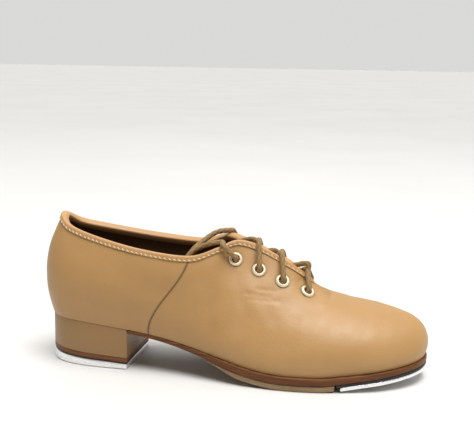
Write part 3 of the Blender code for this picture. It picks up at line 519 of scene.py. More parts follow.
MATERIALS = {
    "upper_leather": smooth_leather(
        "tan_leather", (0.405, 0.225, 0.082), (0.45, 0.255, 0.096), (0.50, 0.295, 0.118), 0.45, 1500
    ),
    "lining_leather": smooth_leather(
        "lining", (0.075, 0.036, 0.015), (0.125, 0.060, 0.025), (0.17, 0.085, 0.036), 0.55, 1100
    ),
    "outsole_leather": edge_leather("sole_edge", (0.080, 0.026, 0.007), (0.20, 0.072, 0.020)),
    "top_lift": edge_leather("lift_edge", (0.13, 0.045, 0.014), (0.23, 0.085, 0.028)),
    "half_sole_rubber": speckled("tan_rubber", (0.28, 0.18, 0.085), (0.36, 0.24, 0.125), 0.75, 900),
    "black_board": speckled(
        "black_fibre", (0.010, 0.009, 0.008), (0.028, 0.025, 0.022), 0.6, 1200
    ),
    "tap_metal": worn_metal("tap_aluminium", (0.90, 0.90, 0.89), (0.74, 0.74, 0.73), 0.30),
    "steel": worn_metal("plain_steel", (0.56, 0.56, 0.56), (0.40, 0.38, 0.35), 0.35),
    "eyelet_metal": worn_metal(
        "pale_brass", (0.84, 0.72, 0.50), (0.70, 0.56, 0.34), 0.38, 1500, 0.35
    ),
    "stiffener_board": speckled("stiffener", (0.35, 0.27, 0.18), (0.42, 0.34, 0.24), 0.85, 700),
    "insole_board": speckled("insole_fibre", (0.30, 0.22, 0.14), (0.38, 0.29, 0.19), 0.85, 600),
    "cork": speckled("granulated_cork", (0.32, 0.19, 0.09), (0.50, 0.34, 0.19), 0.9, 420, 0.0006),
    "heel_wood": wood_grain("heel_wood", (0.45, 0.30, 0.17), (0.33, 0.20, 0.10)),
    "lace_cotton": braid_cotton(
        "lace_braid", (0.14, 0.078, 0.025), (0.30, 0.182, 0.066), (0.42, 0.27, 0.11)
    ),
    "aglet_plastic": speckled("tipping_film", (0.34, 0.22, 0.11), (0.42, 0.28, 0.15), 0.3, 500),
}
# painted shade: a darker copy of the tan leather for the low heel cover
SHADED_HEEL_LEATHER = smooth_leather(
    "heel_leather_painted_shade", (0.30, 0.168, 0.062), (0.335, 0.192, 0.073), (0.375, 0.222, 0.09), 0.45, 1500
)
# painted light: a lighter, more orange copy of the tan leather for the upward-facing binding roll
LIT_BINDING_LEATHER = smooth_leather(
    "binding_leather_painted_light", (0.46, 0.25, 0.098), (0.52, 0.29, 0.115), (0.60, 0.35, 0.155), 0.42, 1500
)
SEAM_THREAD = thread("seam_thread", (0.80, 0.66, 0.44))


def finish_cad_nodes():
    """Gives every CAD node its material, for those that stay and are seen in a cutaway."""
    for row in frame["record"]["subparts"]:
        mesh = frame["nodes"][row["node"]].data
        mesh.materials.clear()
        mesh.materials.append(MATERIALS[row["material_slot"]])


def riding(obj, body, node):
    """The piece stands for a CAD node and moves with one body."""
    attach(obj, body)
    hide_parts(node)


def across_flex(obj, node):
    """The piece stands for a CAD node, which it hides; its placement is baked into its mesh."""
    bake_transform(obj)
    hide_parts(node)


# ---- upper ----
STEPS_PER_RIB = 20
SEAM_SPACING = 20.0
SEAM_SLIT = 0.004
SEAM_LAP = 0.3
SEAM_LAP_WIDTH = 5.0
SEAM_LINE = 0.6
# Strength of the painted shade line along the side seam.
SEAM_SHADE = 1.5
EDGE_BLEND = 0.06
HEIGHT_ROWS = 64
LINING_ROWS = 40
MIDLINE_Y = 4.0
NEAR_EYELET = 9.0
DIMPLE = 0.6
DIMPLE_R = 6.5
# Strength and width of the painted shadow ring round each eyelet flange.
RING_SHADE = 0.8
RING_WIDTH = 0.8


def eyelet_places():
    """Each eyelet's (loop position, centre on the outer face, outward normal)."""
    places = {}
    for side, sign in (("outer", 1), ("inner", -1)):
        for number, (position, reach) in enumerate(zip(EYELET_RIBS, EYELETS_FROM_EDGE), 1):
            w = sign * position % LOOP
            ts = np.linspace(1.0, 0.5, 400)
            far = np.linalg.norm(upper_point(w, ts) - upper_point(w, 1.0), axis=1)
            t = float(np.interp(reach, far, ts))
            places[side, number] = (w, upper_point(w, t), upper_normal(w, t))
    return places


EYELETS = eyelet_places()


def fold_line(points, outer_side, path, width, depth):
    """How deep a crease along a path of (x, z) points is at each surface point, 0 to depth."""
    nearest = np.full(len(points), 1e9)
    for a, b in zip(path, path[1:]):
        a, b = np.array(a, float), np.array(b, float)
        flat = points[:, [0, 2]]
        along = np.clip(((flat - a) @ (b - a)) / ((b - a) @ (b - a)), 0, 1)
        nearest = np.minimum(nearest, np.linalg.norm(flat - a - along[:, None] * (b - a), axis=1))
    side = points[:, 1] < MIDLINE_Y if outer_side else points[:, 1] > MIDLINE_Y
    return depth * np.exp(-((nearest / width) ** 2)) * side


# Creases and soft swellings on each side: (path of (x, z), width, depth). A swelling is negative.
FOLDS = (
    (((184, 66), (190, 62), (198, 57)), 2.4, 1),
    (((150, 66), (156, 55), (163, 44)), 3.4, 0.2),
    (((160, 62), (168, 52), (178, 45)), 3.4, 0.25),
    (((136, 70), (139, 58), (146, 46)), 4, 0.25),
    (((172, 54), (182, 50), (192, 49)), 3, 0.3),
    (((122, 60), (120, 46), (124, 34)), 6, 0.5),
    (((146, 62), (152, 50), (158, 40)), 4, -0.15),
    (((60, 70), (80, 62), (98, 58)), 9, 0.6),
    (((22, 52), (40, 44), (62, 42)), 6, 0.4),
    (((177, 66.5), (184, 65.8)), 1.2, 0.7),
    (((143, 59.5), (152, 58), (160, 57.5)), 0.9, 0.4),
    (((146, 56), (156, 55.2), (166, 54.8)), 0.9, 0.4),
    (((150, 62), (158, 61), (165, 60.8)), 0.9, 0.3),
)


def relief(points):
    """(offset along the normal in mm, painted shade 0..1) of the leather at each point."""
    offset, shade = np.zeros(len(points)), np.zeros(len(points))
    for outer_side in (True, False):
        for path, width, depth in FOLDS:
            deep = fold_line(points, outer_side, path, width, depth)
            offset -= deep
            # painted shade: each crease is also coloured darker, the deeper the darker
            shade += np.clip(deep, 0, None) ** 2 * 0.35
    x, _, z = points.T
    offset += 0.22 * np.sin(0.11 * x + 0.05 * z + 1.3) * np.sin(0.13 * z - 0.04 * x + 0.5)
    offset += 0.10 * np.sin(0.31 * x - 0.21 * z + 0.4) * np.sin(0.17 * z + 0.23 * x)
    for _, centre, _ in EYELETS.values():
        away = np.linalg.norm(points - centre, axis=1)
        offset -= DIMPLE * np.exp(-((away / DIMPLE_R) ** 2))
        # painted shadow: a dark ring on the leather just outside each eyelet's flange
        shade += RING_SHADE * np.exp(-(((away - EYELET_FLANGE_R - GAP) / RING_WIDTH) ** 2))
    return offset, shade


def upper_grid(start, end, depth, foot_height, rows):
    """(points, quads, painted shade) of the upper at a depth, between two whole steps."""
    steps = np.arange(start, end + 1)
    ws = steps / STEPS_PER_RIB
    ws[0] += SEAM_SLIT
    ws[-1] -= SEAM_SLIT
    first = np.array([t_above_seat(w, foot_height) for w in ws]) if foot_height else 0 * ws
    ts = first[:, None] + (1 - first[:, None]) * np.linspace(0, 1, rows)[None, :]
    points = upper_point(ws[:, None], ts).reshape(-1, 3)
    index = np.arange(len(points)).reshape(len(ws), rows)
    loop = LOOP * STEPS_PER_RIB
    for k, step in enumerate(steps):
        mirror = loop - step
        if THROAT_RIB * STEPS_PER_RIB <= mirror < step and mirror >= start:
            index[k, -1] = index[mirror - start, -1]
    quads = grid_quads(index)
    normals = vertex_normals(points, quads)
    offset, shade = relief(points)
    off_seam = SEAM_SPACING * (np.minimum(ws % LOOP, -ws % LOOP) - SEAM_RIB)
    # painted shade: a thin dark line along the seam groove between quarter and vamp
    shade += np.repeat(SEAM_SHADE * np.exp(-((off_seam / SEAM_LINE) ** 2)), rows)
    lap = SEAM_LAP * np.exp(-((off_seam / SEAM_LAP_WIDTH) ** 2)) * (off_seam <= 0.01)
    offset += np.repeat(lap, rows)
    edge = np.clip(ts.reshape(-1) / EDGE_BLEND, 0, 1)
    points = points + normals * (offset * edge - depth)[:, None]
    return points, quads, shade


def without_eyelets(points, quads, radius):
    """The quads further from every eyelet's axis than this radius."""
    centres = points[quads].mean(1)
    kept = np.ones(len(quads), bool)
    for _, centre, normal in EYELETS.values():
        away = centres - centre
        along = away @ normal
        side = np.linalg.norm(away - along[:, None] * normal, axis=1)
        kept &= (side > radius) | (np.abs(along) > NEAR_EYELET)
    return quads[kept]


def add_upper_piece(name, span, depth, thickness, foot, slot, rows):
    """One leather or lining piece over a span of steps, from foot above the feather line up."""
    points, quads, shade = upper_grid(*span, depth, foot, rows)
    quads = without_eyelets(points, quads, EYELET_HOLE_R)
    solid, faces = shell(points, quads, thickness)
    obj = new_piece(name, solid, faces, MATERIALS[slot], 60)
    paint(obj, "painted_shade", np.concatenate([shade, shade]))
    return obj


def add_upper():
    seam = int(SEAM_RIB * STEPS_PER_RIB)
    front, rear = (seam, LOOP * STEPS_PER_RIB - seam), (-seam, seam)
    skins = (
        ("leather", "", "upper_leather", 0.0, LEATHER, 0, HEIGHT_ROWS),
        ("lining_skin", "_lining", "lining_leather", LINING_TOP, LINING,
         INSOLE + LINING_INSET, LINING_ROWS),
    )
    for ending, node_ending, slot, depth, thickness, foot, rows in skins:
        vamp = add_upper_piece(f"vamp_{ending}", front, depth, thickness, foot, slot, rows)
        across_flex(vamp, f"vamp{node_ending}")
        quarter = add_upper_piece(f"quarter_{ending}", rear, depth, thickness, foot, slot, rows)
        riding(quarter, "shoe", f"quarter{node_ending}")


# ---- binding ----
def sweep(places, across, downs, profile):
    """(points, faces) of a closed profile of (across, down) points swept along places."""
    rings = [p + n * a + d * b for p, n, d in zip(places, across, downs) for a, b in profile]
    points = np.array(rings)
    return points, tube_faces(np.arange(len(points)).reshape(-1, len(profile)))


BINDING_END = 9.9
BINDING_STEP = 0.03
BINDING_FACE = 0.45
BINDING_SKIN = 0.75
BINDING_FLAP = 3.1
ROLL_HEIGHT = 1.35
THROAT_TAPER = 0.35
PUCKER = 0.16
STITCH = 2.3
STITCH_GAP = 1.1
STITCH_SLANT = 0.55
STITCH_R = 0.5
STITCH_DOWN = 2.1
STITCH_SIDES = 6


def binding_profile():
    """The rolled leather strip: out over the face, over the edge and down the lining."""
    back = -UPPER_DEPTH - 0.5
    middle = 0.5 * (BINDING_FACE + back)
    radius = 0.5 * (BINDING_FACE + 2 * BINDING_SKIN - back)
    profile = [(BINDING_FACE - 0.6, BINDING_FLAP), (BINDING_FACE + 0.1, BINDING_FLAP + 0.05)]
    profile += [(BINDING_FACE + 0.35, BINDING_FLAP - 0.25), (BINDING_FACE + 0.25, 2.3)]
    profile += [(BINDING_FACE + 0.45, 1.6), (BINDING_FACE + BINDING_SKIN, 0.8)]
    for angle in np.linspace(0, math.pi, 13):
        profile.append((middle + radius * math.cos(angle), -0.2 - ROLL_HEIGHT * math.sin(angle)))
    profile += [(back - BINDING_SKIN, 3.4), (back - 0.2, 4.0), (back, 4.0), (back, 0.6)]
    return [*profile, (BINDING_FACE - 0.6, 0.6)]


def add_binding():
    """The rolled binding round the collar and both facings, and its row of stitches."""
    ws = np.arange(-BINDING_END, BINDING_END + 0.0001, BINDING_STEP)
    places, normals, downs = edge_frame(ws)
    profile = binding_profile()
    points, faces = sweep(places, normals, downs, profile)
    rings = points.reshape(len(ws), -1, 3)
    centres = (places - normals * 0.5 * UPPER_DEPTH)[:, None]
    taper = 0.35 + 0.65 * smoothstep((ws[-1] + 0.02 - np.abs(ws)) / THROAT_TAPER)
    pucker = PUCKER * np.cos(2 * math.pi * line_lengths(places) / (STITCH + STITCH_GAP))
    rings[:, 2:5] += (normals * pucker[:, None])[:, None]
    points = (centres + (rings - centres) * taper[:, None, None]).reshape(-1, 3)
    # the binding takes the lighter copy of the leather, as painted light
    binding = new_piece("collar_roll", points, faces, LIT_BINDING_LEATHER, 70)
    # painted shade: the binding's lower edge is coloured dark as a shadowed groove
    shaded_rim = [float(down >= BINDING_FLAP - 0.05) for _, down in profile]
    paint(binding, "painted_shade", np.tile(shaded_rim, len(ws)))
    across_flex(binding, "collar_binding")
    sewn = np.abs(ws) < ws[-1] - THROAT_TAPER
    line = (places + normals * (BINDING_FACE + 0.3) + downs * STITCH_DOWN)[sewn]
    stitches = stitch_run("collar_stitches", line, normals[sewn])
    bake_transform(stitches)


def stitch_run(name, line, normals):
    """One object of many small slanted threads laid along a line."""
    lengths = line_lengths(line)

    def at(s, table):
        return np.stack([np.interp(s, lengths, table[:, k]) for k in range(3)], -1)

    points, faces = [], []
    shares = np.array([0.0, 0.18, 0.5, 0.82, 1.0])
    sizes = np.array([0.35, 0.85, 1.0, 0.85, 0.35])
    for start in np.arange(0.5, lengths[-1] - STITCH, STITCH + STITCH_GAP):
        s = start + STITCH * shares
        middle, normal = at(s, line), unit(at(s, normals))
        along = unit(middle[-1] - middle[0])
        side = np.cross(along, normal)
        middle = middle + side * (STITCH_SLANT * (2 * shares - 1))[:, None]
        first = sum(len(p) for p in points)
        sink = normal * ((1 - sizes) * STITCH_R * 1.2)[:, None]
        ring = []
        for angle in np.arange(STITCH_SIDES) * 2 * math.pi / STITCH_SIDES:
            spoke = math.cos(angle) * normal + math.sin(angle) * side
            ring.append(middle - sink + spoke * (sizes * STITCH_R)[:, None])
        points.append(np.stack(ring, 1).reshape(-1, 3))
        index = first + np.arange(len(points[-1])).reshape(-1, STITCH_SIDES)
        faces += tube_faces(index)
    return new_piece(name, np.concatenate(points), faces, SEAM_THREAD)


# ---- eyelets ----
EYELET_SIDES = 40
ROLL_R = 0.85


def revolve(name, centre, axis, profile, sides, material):
    """A closed ring: (radius, height) points turned about an axis."""
    helper = np.array([1.0, 0, 0]) if abs(axis[0]) < 0.8 else np.array([0, 1.0, 0])
    u = unit(np.cross(axis, helper))
    v = np.cross(axis, u)
    angles = 2 * math.pi * np.arange(sides) / sides
    spokes = np.cos(angles)[:, None] * u + np.sin(angles)[:, None] * v
    points = [centre + s * r + axis * h for s in spokes for r, h in profile]
    index = np.arange(len(points)).reshape(sides, len(profile))
    return new_piece(name, np.array(points), grid_quads(wrapped(index), True), material, 40)


def add_eyelets():
    """Rolled metal rings, each with a dished flange outside and a smaller one inside."""
    back = -UPPER_DEPTH - 0.7
    lift = 0.12
    profile = [(EYELET_BORE_R, back - 0.4)]
    for angle in np.linspace(math.pi, 0.35 * math.pi, 6):
        radius = EYELET_BORE_R + ROLL_R + ROLL_R * math.cos(angle)
        profile.append((radius, lift + 0.95 * math.sin(angle)))
    profile += [(EYELET_FLANGE_R - 0.7, lift + 0.72), (EYELET_FLANGE_R - 0.15, lift + 0.3)]
    profile += [(EYELET_FLANGE_R, lift - 0.1), (EYELET_FLANGE_R - 0.3, lift - 0.35)]
    profile += [(EYELET_BORE_R + 0.45, lift - 0.35), (EYELET_BORE_R + 0.45, back)]
    profile += [(EYELET_FLANGE_R - 1.2, back), (EYELET_FLANGE_R - 1.2, back - 0.4)]
    for (side, number), (_, centre, normal) in EYELETS.items():
        name, metal = f"ring_{side}_{number}", MATERIALS["eyelet_metal"]
        ring = revolve(name, centre, normal, profile, EYELET_SIDES, metal)
        riding(ring, "shoe", f"eyelet_{side}_{number}")


# ---- layers of the bottom ----
def w_at(x, side):
    """The loop position on one side (1 outer, -1 inner) whose feather point is at x."""
    ws = np.linspace(0.0, TOE_RIB, 1501)
    return float(np.interp(x, rib(side * ws)[:, 0], ws))


def outline(inset, x_from, x_to, steps):
    """Pairs of points across the footprint, from heel to toe, moved in by inset(w)."""
    sides = []
    for side in (1, -1):
        start = 0.0 if x_from is None else w_at(x_from, side)
        end = float(TOE_RIB) if x_to is None else w_at(x_to, side)
        ws = start + (end - start) * np.linspace(0, 1, steps)
        points = feather(side * ws, inset(ws))[:, :2]
        if x_from is not None:
            points[0, 0] = x_from
        if x_to is not None:
            points[-1, 0] = x_to
        sides.append(points)
    return sides


LAYER_STEPS = 140
HEEL_INSET = 0.2
SKIVE = 24.0
THIN_END = 0.9


def layer(name, material, inset, z_top, z_bottom, x_from, x_to, rounding):
    """A flat piece of the bottom with rounded edges, between two height functions of x."""
    steps, rings = LAYER_STEPS, []
    bend = np.linspace(0, math.pi / 2, 4)
    shape = [(rounding * (1 - math.sin(a)), rounding * (1 - math.cos(a))) for a in bend]
    rows = [(i, d, True) for i, d in shape] + [(i, d, False) for i, d in reversed(shape)]
    for in_by, drop, upper in rows:
        begin = None if x_from is None else x_from + in_by
        finish = None if x_to is None else x_to - in_by
        outer, inner = outline(lambda w: inset(w) + in_by, begin, finish, steps)
        height = z_top if upper else z_bottom
        sign = -1 if upper else 1
        ring = np.concatenate([outer, inner[::-1]])
        z = height(ring[:, 0]) + sign * drop
        rings.append(np.concatenate([ring, z[:, None]], 1))
    points = np.concatenate(rings)
    index = np.arange(len(points)).reshape(len(rings), 2 * steps)
    faces = [tuple(q) for q in grid_quads(wrapped(index))[:, ::-1].tolist()]
    for ring, turned in ((index[0], False), (index[-1], True)):
        left, right = ring[:steps], ring[steps:][::-1]
        for k in range(steps - 1):
            face = (left[k], left[k + 1], right[k + 1], right[k])
            faces.append(face[::-1] if turned else face)
    obj = new_piece(name, *welded(points, faces), material, 35)
    paint(obj, "painted_shade", 0.0)
    return obj


def welded(points, faces):
    """(points, faces) with points in the same place made one, and unused points dropped."""
    first_at = {}
    table = [first_at.setdefault(tuple(np.round(p, 4)), k) for k, p in enumerate(points)]
    faces = [drop_repeats(tuple(table[c] for c in f)) for f in faces]
    faces = [f for f in faces if len(set(f)) >= 3]
    used = sorted({c for f in faces for c in f})
    number = {c: k for k, c in enumerate(used)}
    return points[used], [tuple(number[c] for c in f) for f in faces]


def overhang(w):
    """How far the sole's edge stands out from the feather line."""
    w = np.asarray(w, float) % LOOP
    return curve_through(OVERHANG_KEYS, np.minimum(w, LOOP - w))


def sole_top(x):
    return seat(x) - GAP


def sole_bottom(x):
    return sole_top(x) - curve_through(SOLE_KEYS, x)


def half_sole_bottom(x):
    """The half sole is thinned to THIN_END where it starts at the waist."""
    skive = smoothstep((x - HALF_SOLE_FROM) / SKIVE)
    return np.maximum(0.0, sole_bottom(x) - GAP - THIN_END - (HALF_SOLE - THIN_END) * skive)


def heel_tap_top(x):
    part = (x - HEEL_BACK_X) / (BREAST_X - HEEL_BACK_X)
    return HEEL_TAP_BACK + (HEEL_TAP_FRONT - HEEL_TAP_BACK) * part


def constant(value):
    return lambda w: value + 0 * np.asarray(w, float)


def add_soles():
    margin = LEATHER + GAP
    board_top = margin + INSOLE
    sock_low = board_top + GAP
    pieces = (
        ("insole_fibre_board", "insole_board", "insole_board", constant(LINING_INSET),
         lambda x: seat(x) + board_top, lambda x: seat(x) + margin, None, None, 0.2),
        ("sock_leather", "lining_leather", "sock_liner", constant(UPPER_DEPTH + 1.2),
         lambda x: seat(x) + sock_low + SOCK, lambda x: seat(x) + sock_low, None, None, 0.3),
        ("cork_filler", "cork", "bottom_filler", constant(12.5),
         lambda x: seat(x) + LEATHER - 0.1, seat, 142.0, 216.0, 0.2),
        ("sole_leather", "outsole_leather", "outsole", lambda w: -overhang(w),
         sole_top, sole_bottom, BREAST_X + 2 * GAP, None, 0.7),
        ("half_sole_pad", "half_sole_rubber", "half_sole", lambda w: 0.6 - overhang(w),
         lambda x: sole_bottom(x) - GAP, half_sole_bottom, HALF_SOLE_FROM, HALF_SOLE_TO, 0.4),
    )
    for name, slot, node, inset, z_top, z_bottom, x_from, x_to, rounding in pieces:
        obj = layer(name, MATERIALS[slot], inset, z_top, z_bottom, x_from, x_to, rounding)
        across_flex(obj, node)


def add_toe_tap():
    def board_top(x):
        return sole_bottom(x) - GAP

    def tap_top(x):
        return board_top(x) - TAP_BOARD - 0.15

    def inset(w):
        return 0.2 - overhang(w)

    pieces = (
        ("toe_fibre_board", "black_board", "toe_tap_board",
         board_top, lambda x: board_top(x) - TAP_BOARD, TOE_BOARD_FROM, 0.2),
        ("toe_plate", "tap_metal", "toe_tap",
         tap_top, lambda x: tap_top(x) - TOE_TAP - 0.15, TOE_TAP_FROM, 0.45),
    )
    for name, slot, node, z_top, z_bottom, x_from, rounding in pieces:
        obj = layer(name, MATERIALS[slot], inset, z_top, z_bottom, x_from, None, rounding)
        riding(obj, "forefoot", node)


def add_heel():
    """The leather-covered heel with its lift, board and tap."""
    lift_low = 2 * GAP + HEEL_BOARD
    cover_low = lift_low + TOP_LIFT + 0.1
    inset = constant(HEEL_INSET)
    pieces = (
        ("heel_plate", "tap_metal", "heel_tap", inset, heel_tap_top, lambda x: 0 * x, 0.45),
        ("heel_fibre_board", "black_board", "heel_tap_board", constant(0.5),
         lambda x: heel_tap_top(x) + GAP + HEEL_BOARD + 0.2, lambda x: heel_tap_top(x) + 0.05, 0.1),
        ("lift_leather", "top_lift", "heel_top_lift", inset,
         lambda x: heel_tap_top(x) + lift_low + TOP_LIFT, lambda x: heel_tap_top(x) + lift_low,
         0.35),
        ("heel_wrap", "upper_leather", "heel_cover", inset,
         lambda x: seat(x) - 0.15, lambda x: heel_tap_top(x) + cover_low, 0.25),
    )
    for name, slot, node, inset, z_top, z_bottom, rounding in pieces:
        # the heel cover takes the darker copy of the leather, as painted shade
        material = SHADED_HEEL_LEATHER if slot == "upper_leather" else MATERIALS[slot]
        obj = layer(name, material, inset, z_top, z_bottom, None, BREAST_X, rounding)
        riding(obj, "shoe", node)


# ---- tongue ----
TONGUE_ROOT_RIB = 10.8
TONGUE_TOP_RIB = 7.15
TONGUE_DEPTH = 9.8
TONGUE_ROOT_DEPTH = 5.0
TONGUE_THICKNESS = 1.4
TONGUE_SECTIONS = 60


def tongue_section(s):
    """Five points across the tongue at s, from its root (0) to its top (1)."""
    w = TONGUE_ROOT_RIB + (TONGUE_TOP_RIB - TONGUE_ROOT_RIB) * s
    depth = TONGUE_ROOT_DEPTH + (TONGUE_DEPTH - TONGUE_ROOT_DEPTH) * smoothstep(s / 0.2)
    reach = 0.74 - 0.14 * smoothstep(s)

    def under(position, t):
        return upper_point(position, t) - upper_normal(position, t) * depth

    low_outer, low_inner = under(w, reach), under(LOOP - w, reach)
    high_outer, high_inner = under(w, 0.9), under(LOOP - w, 0.9)
    middle = 0.5 * (high_outer + high_inner)
    middle[2] += 0.06 * np.linalg.norm(high_outer - high_inner)
    return [low_outer, high_outer, middle, high_inner, low_inner]


def add_tongue():
    grid = np.array([catmull(tongue_section(s), 8) for s in np.linspace(0, 1, TONGUE_SECTIONS)])
    index = np.arange(grid.shape[0] * grid.shape[1]).reshape(grid.shape[:2])
    quads = grid_quads(index)
    points = grid.reshape(-1, 3)
    if vertex_normals(points, quads)[:, 2].sum() < 0:
        quads = quads[:, ::-1]
    solid, faces = shell(points, quads, TONGUE_THICKNESS)
    obj = new_piece("tongue_leather", solid, faces, MATERIALS["lining_leather"], 60)
    paint(obj, "painted_shade", 0.0)
    riding(obj, "tongue", "tongue")


# ---- lace ----
OUTER_TAIL = (
    (117.5, -15.5, 90), (111, -14.5, 87.6), (105.5, -15.3, 84.9),
    (101.5, -17.3, 81.5), (99, -19, 76), (98.5, -20.5, 67.5),
    (102, -22, 56.5), (111, -23, 45), (122, -22.8, 35),
    (134, -21.5, 27.8), (147, -20.5, 23.3),
)
INNER_TAIL = (
    (118.5, 10, 93.9), (114.5, 6.5, 92.8), (110.5, 2, 90.4),
    (107, -3.5, 87.7), (103.8, -9.5, 84.8), (101, -12.8, 80.5),
    (99, -13.8, 73), (99, -13, 63), (102.5, -11.5, 51.5),
    (110, -9.5, 41), (121, -8, 33), (134, -7.2, 27),
)


def over_edge(w, sink=1.0, rise=0.0):
    """Two points that carry the lace round the rolled edge at w; sink 1 lets it in behind it."""
    edge, lift, down = edge_frame(w)
    crest = edge + lift * (LACE_RIDE - 5.2 * sink) - down * (2.3 + 1.8 * sink) + UP * rise
    return [edge + lift * LACE_RIDE - down * 0.9, crest]


def strand(start, finish, mid_lift):
    """From outside one eyelet, over its facing's edge and the gap, to inside the other eyelet."""
    (w_a, centre_a, normal_a), (w_b, centre_b, normal_b) = start, finish
    w_over = w_a + 0.2 * (LOOP - w_b - w_a)
    edge_b, lift_b, down_b = edge_frame(w_b + 0.2 * (LOOP - w_a - w_b))
    w_middle = 0.5 * (w_a + LOOP - w_b)
    gap = np.linalg.norm(top(w_over) - top(LOOP - w_over))
    sink = min(1.0, max(0.0, gap / NARROW_GAP - 1.0))
    crossing = over_edge(w_over, sink, max(0.0, mid_lift) * 1.7 * (1 - sink))
    rise = 0.5 * (centre_a + upper_point(w_over, 1.0)) + normal_a * LACE_RIDE
    middle = 0.5 * (top(w_middle) + top(LOOP - w_middle)) + UP * mid_lift
    dive = edge_b - lift_b * (UPPER_DEPTH + 4.6) - down_b * 0.2 + UP * min(0.0, mid_lift) * 0.6
    inside = centre_b - normal_b * INSIDE_DEPTH
    return [centre_a + normal_a * 2.0, rise, *crossing, middle, dive, inside]


def zigzag(first_side, mid_lift):
    """The strands up from eyelet 4 on one side to eyelet 1, changing sides at each one."""
    other = {"outer": "inner", "inner": "outer"}
    side, points = first_side, []
    for number in (4, 3, 2):
        points += strand(EYELETS[side, number], EYELETS[other[side], number - 1], mid_lift)
        side = other[side]
    return points


def tail(place, crossing_w, points):
    """Out of the top eyelet, over the collar at crossing_w and down into the mouth."""
    _, centre, normal = place
    rise = 0.5 * (centre + upper_point(crossing_w, 1.0)) + normal * LACE_RIDE
    return [centre + normal * 2.0, rise, *over_edge(crossing_w), *(np.array(p) for p in points)]


def lace_route():
    """The lace's own points, from its outer-side end to its inner-side end."""
    outer_half = zigzag("inner", UNDER_CROSSING)
    outer_half += tail(EYELETS["outer", 1], OUTER_TAIL_RIB, OUTER_TAIL)
    inner_half = zigzag("outer", OVER_CROSSING)
    inner_half += tail(EYELETS["inner", 1], INNER_TAIL_RIB, INNER_TAIL)
    ends = [EYELETS[s, 4][1] - EYELETS[s, 4][2] * INSIDE_DEPTH for s in ("inner", "outer")]
    bar = [ends[0] + (ends[1] - ends[0]) * part for part in (0.0, 0.25, 0.5, 0.75, 1.0)]
    bar = [p + UP * rise for p, rise in zip(bar, (0.0, 2.0, 3.5, 2.0, 0.0))]
    return outer_half[::-1] + bar + inner_half


def catmull(points, steps):
    """The smooth curve through points, with this many samples to each stretch."""
    points = np.array([2 * points[0] - points[1], *points, 2 * points[-1] - points[-2]])
    u = (np.arange(steps) / steps)[:, None]
    found = [spline(*four, u) for four in zip(points, points[1:], points[2:], points[3:])]
    return np.concatenate([*found, points[-2:-1]])


def even_line(points, step):
    """The same line with its points a step apart, and its length."""
    lengths = line_lengths(points)
    places = np.linspace(0, lengths[-1], int(lengths[-1] / step) + 1)
    return np.stack([np.interp(places, lengths, axis) for axis in points.T], -1), lengths[-1]


def carried_frames(line):
    """Two unit directions across the line at each point, carried along without twist."""
    tangents = unit(np.gradient(line, axis=0))
    sides = [unit(np.cross(tangents[0], UP))]
    for tangent in tangents[1:]:
        side = sides[-1] - tangent * (sides[-1] @ tangent)
        sides.append(unit(side))
    sides = np.array(sides)
    return sides, np.cross(tangents, sides)


TUBE_ANGLES = 2 * math.pi * np.arange(20) / 20
BRAID_PITCH = 5.2
BRAID_YARNS = 4
LACE_SAMPLES_PER_STRETCH = 16


def tube(name, line, radii, material, sharp):
    """A closed tube along a line; radii is one number, or one for each point and angle."""
    side, other = carried_frames(line)
    cosines, sines = np.cos(TUBE_ANGLES)[:, None], np.sin(TUBE_ANGLES)[:, None]
    spokes = cosines * side[:, None, :] + sines * other[:, None, :]
    points = (line[:, None, :] + spokes * np.asarray(radii)[..., None]).reshape(-1, 3)
    index = np.arange(len(points)).reshape(len(line), -1)
    faces = [face[::-1] for face in tube_faces(index)]
    return new_piece(name, points, faces, material, sharp)


def braided_tube(name, line, radius, material):
    """A round braid: yarns cross over and under in two directions."""
    turn = 2 * math.pi * line_lengths(line)[:, None] / BRAID_PITCH
    left = np.cos(BRAID_YARNS * TUBE_ANGLES[None, :] + turn)
    right = np.cos(BRAID_YARNS * TUBE_ANGLES[None, :] - turn)
    height = 0.5 + 0.25 * (left + right)
    obj = tube(name, line, radius * (0.93 + 0.12 * (height - 0.5)), material, 80)
    # the yarn height, which the material also uses for painted shade in the valleys
    paint(obj, "strand", height.reshape(-1))
    return obj


def add_lace():
    line, length = even_line(catmull(lace_route(), LACE_SAMPLES_PER_STRETCH), LACE_STEP)
    lace = braided_tube("lace_cord", line, LACE_R, MATERIALS["lace_cotton"])
    riding(lace, "shoe", "lace")
    count = int(AGLET_LENGTH / LACE_STEP)
    tips = []
    for side, stretch in (("outer", line[:count]), ("inner", line[-count:])):
        tips.append(tube(f"tip_{side}", stretch, AGLET_R, MATERIALS["aglet_plastic"], 60))
        riding(tips[-1], "shoe", f"aglet_{side}")


# ---- stage ----
FLOOR_HALF = 12.0
FLOOR_Z = -0.0004
ROOM_SHADES = (-0.6, 0.7, 0.16, 0.72)
LAMPS = (
    ("key", (0.25, -0.35, 1.3), 0.8, 9.0),
    ("fill", (0.9, -0.5, 1.2), 0.9, 1.5),
    ("shaded_rim", (-0.2, 0.9, 1.3), 0.9, 3.0),
)
LAMPS_AIM = Vector((0, 0, 0.04))
CEILING_POWER = 2.3
CEILING_SPREAD = 45
CEILING_TILT = (10, 8)


def add_floor():
    mesh = bpy.data.meshes.new("floor")
    signs = ((-1, -1), (1, -1), (1, 1), (-1, 1))
    corners = [(x * FLOOR_HALF, y * FLOOR_HALF, FLOOR_Z) for x, y in signs]
    mesh.from_pydata(corners, [], [(0, 1, 2, 3)])
    n = Nodes("floor_paint", (0.72, 0.71, 0.69), 0.6)
    n.finish(n.mix(n.ramp(n.noise(3.0, 3.0), 0.3, 0.7), (0.74, 0.73, 0.71), (0.70, 0.69, 0.67)))
    mesh.materials.append(n.material)
    place_object("floor", mesh)


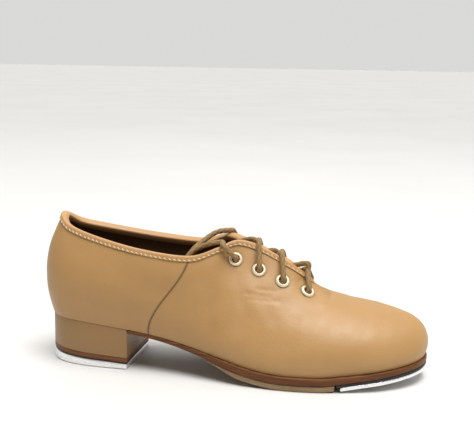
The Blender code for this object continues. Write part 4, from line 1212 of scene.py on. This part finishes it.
def add_room():
    """A pale surrounding that is dim on the outer side of the shoe and bright behind it."""
    world = bpy.data.worlds.new("pale_room")
    world.use_nodes = True
    tree = world.node_tree
    background = tree.nodes["Background"]
    place = tree.nodes.new("ShaderNodeTexCoord")
    axes = tree.nodes.new("ShaderNodeSeparateXYZ")
    tree.links.new(place.outputs["Generated"], axes.inputs["Vector"])
    depth = tree.nodes.new("ShaderNodeMapRange")
    tree.links.new(axes.outputs["Y"], depth.inputs["Value"])
    for socket, number in zip(depth.inputs[1:5], ROOM_SHADES):
        socket.default_value = number
    background.inputs["Color"].default_value = (0.97, 0.97, 0.95, 1.0)
    tree.links.new(depth.outputs["Result"], background.inputs["Strength"])
    bpy.context.scene.world = world


def add_lights():
    for name, place, size, power in LAMPS:
        light = bpy.data.lights.new(name, "AREA")
        light.energy = power
        light.size = size
        lamp = place_object(name, light)
        lamp.location = place
        lamp.rotation_euler = (LAMPS_AIM - Vector(place)).to_track_quat("-Z", "Y").to_euler()
    sun = bpy.data.lights.new("ceiling", "SUN")
    sun.energy = CEILING_POWER
    sun.angle = math.radians(CEILING_SPREAD)
    place_object("ceiling", sun).rotation_euler = (*map(math.radians, CEILING_TILT), 0)


CAMERA_PLACE = (246.74, -629.96, 219.26)
CAMERA_YAW = 10.38
CAMERA_PITCH = 10.20
CAMERA_ROLL = 0.82
CAMERA_LENS = 71.1
CAMERA_SENSOR = 36.0


def add_camera():
    data = bpy.data.cameras.new("camera")
    data.lens = CAMERA_LENS
    data.sensor_width = CAMERA_SENSOR
    data.clip_start = 0.01
    camera = place_object("camera", data)
    camera.location = to_frame(CAMERA_PLACE)
    yaw, pitch = math.radians(CAMERA_YAW), math.radians(CAMERA_PITCH)
    level = math.cos(pitch)
    forward = Vector((-math.sin(yaw) * level, math.cos(yaw) * level, -math.sin(pitch)))
    turned = forward.to_track_quat("-Z", "Y").to_matrix()
    roll = Matrix.Rotation(math.radians(CAMERA_ROLL), 3, "Z")
    camera.rotation_euler = (turned @ roll).to_euler()
    bpy.context.scene.camera = camera


def build():
    finish_cad_nodes()
    add_camera()
    add_lace()
    add_upper()
    add_binding()
    add_eyelets()
    add_soles()
    add_toe_tap()
    add_heel()
    add_tongue()
    add_floor()
    add_room()
    add_lights()
    bpy.context.scene.view_settings.view_transform = "Standard"


build()
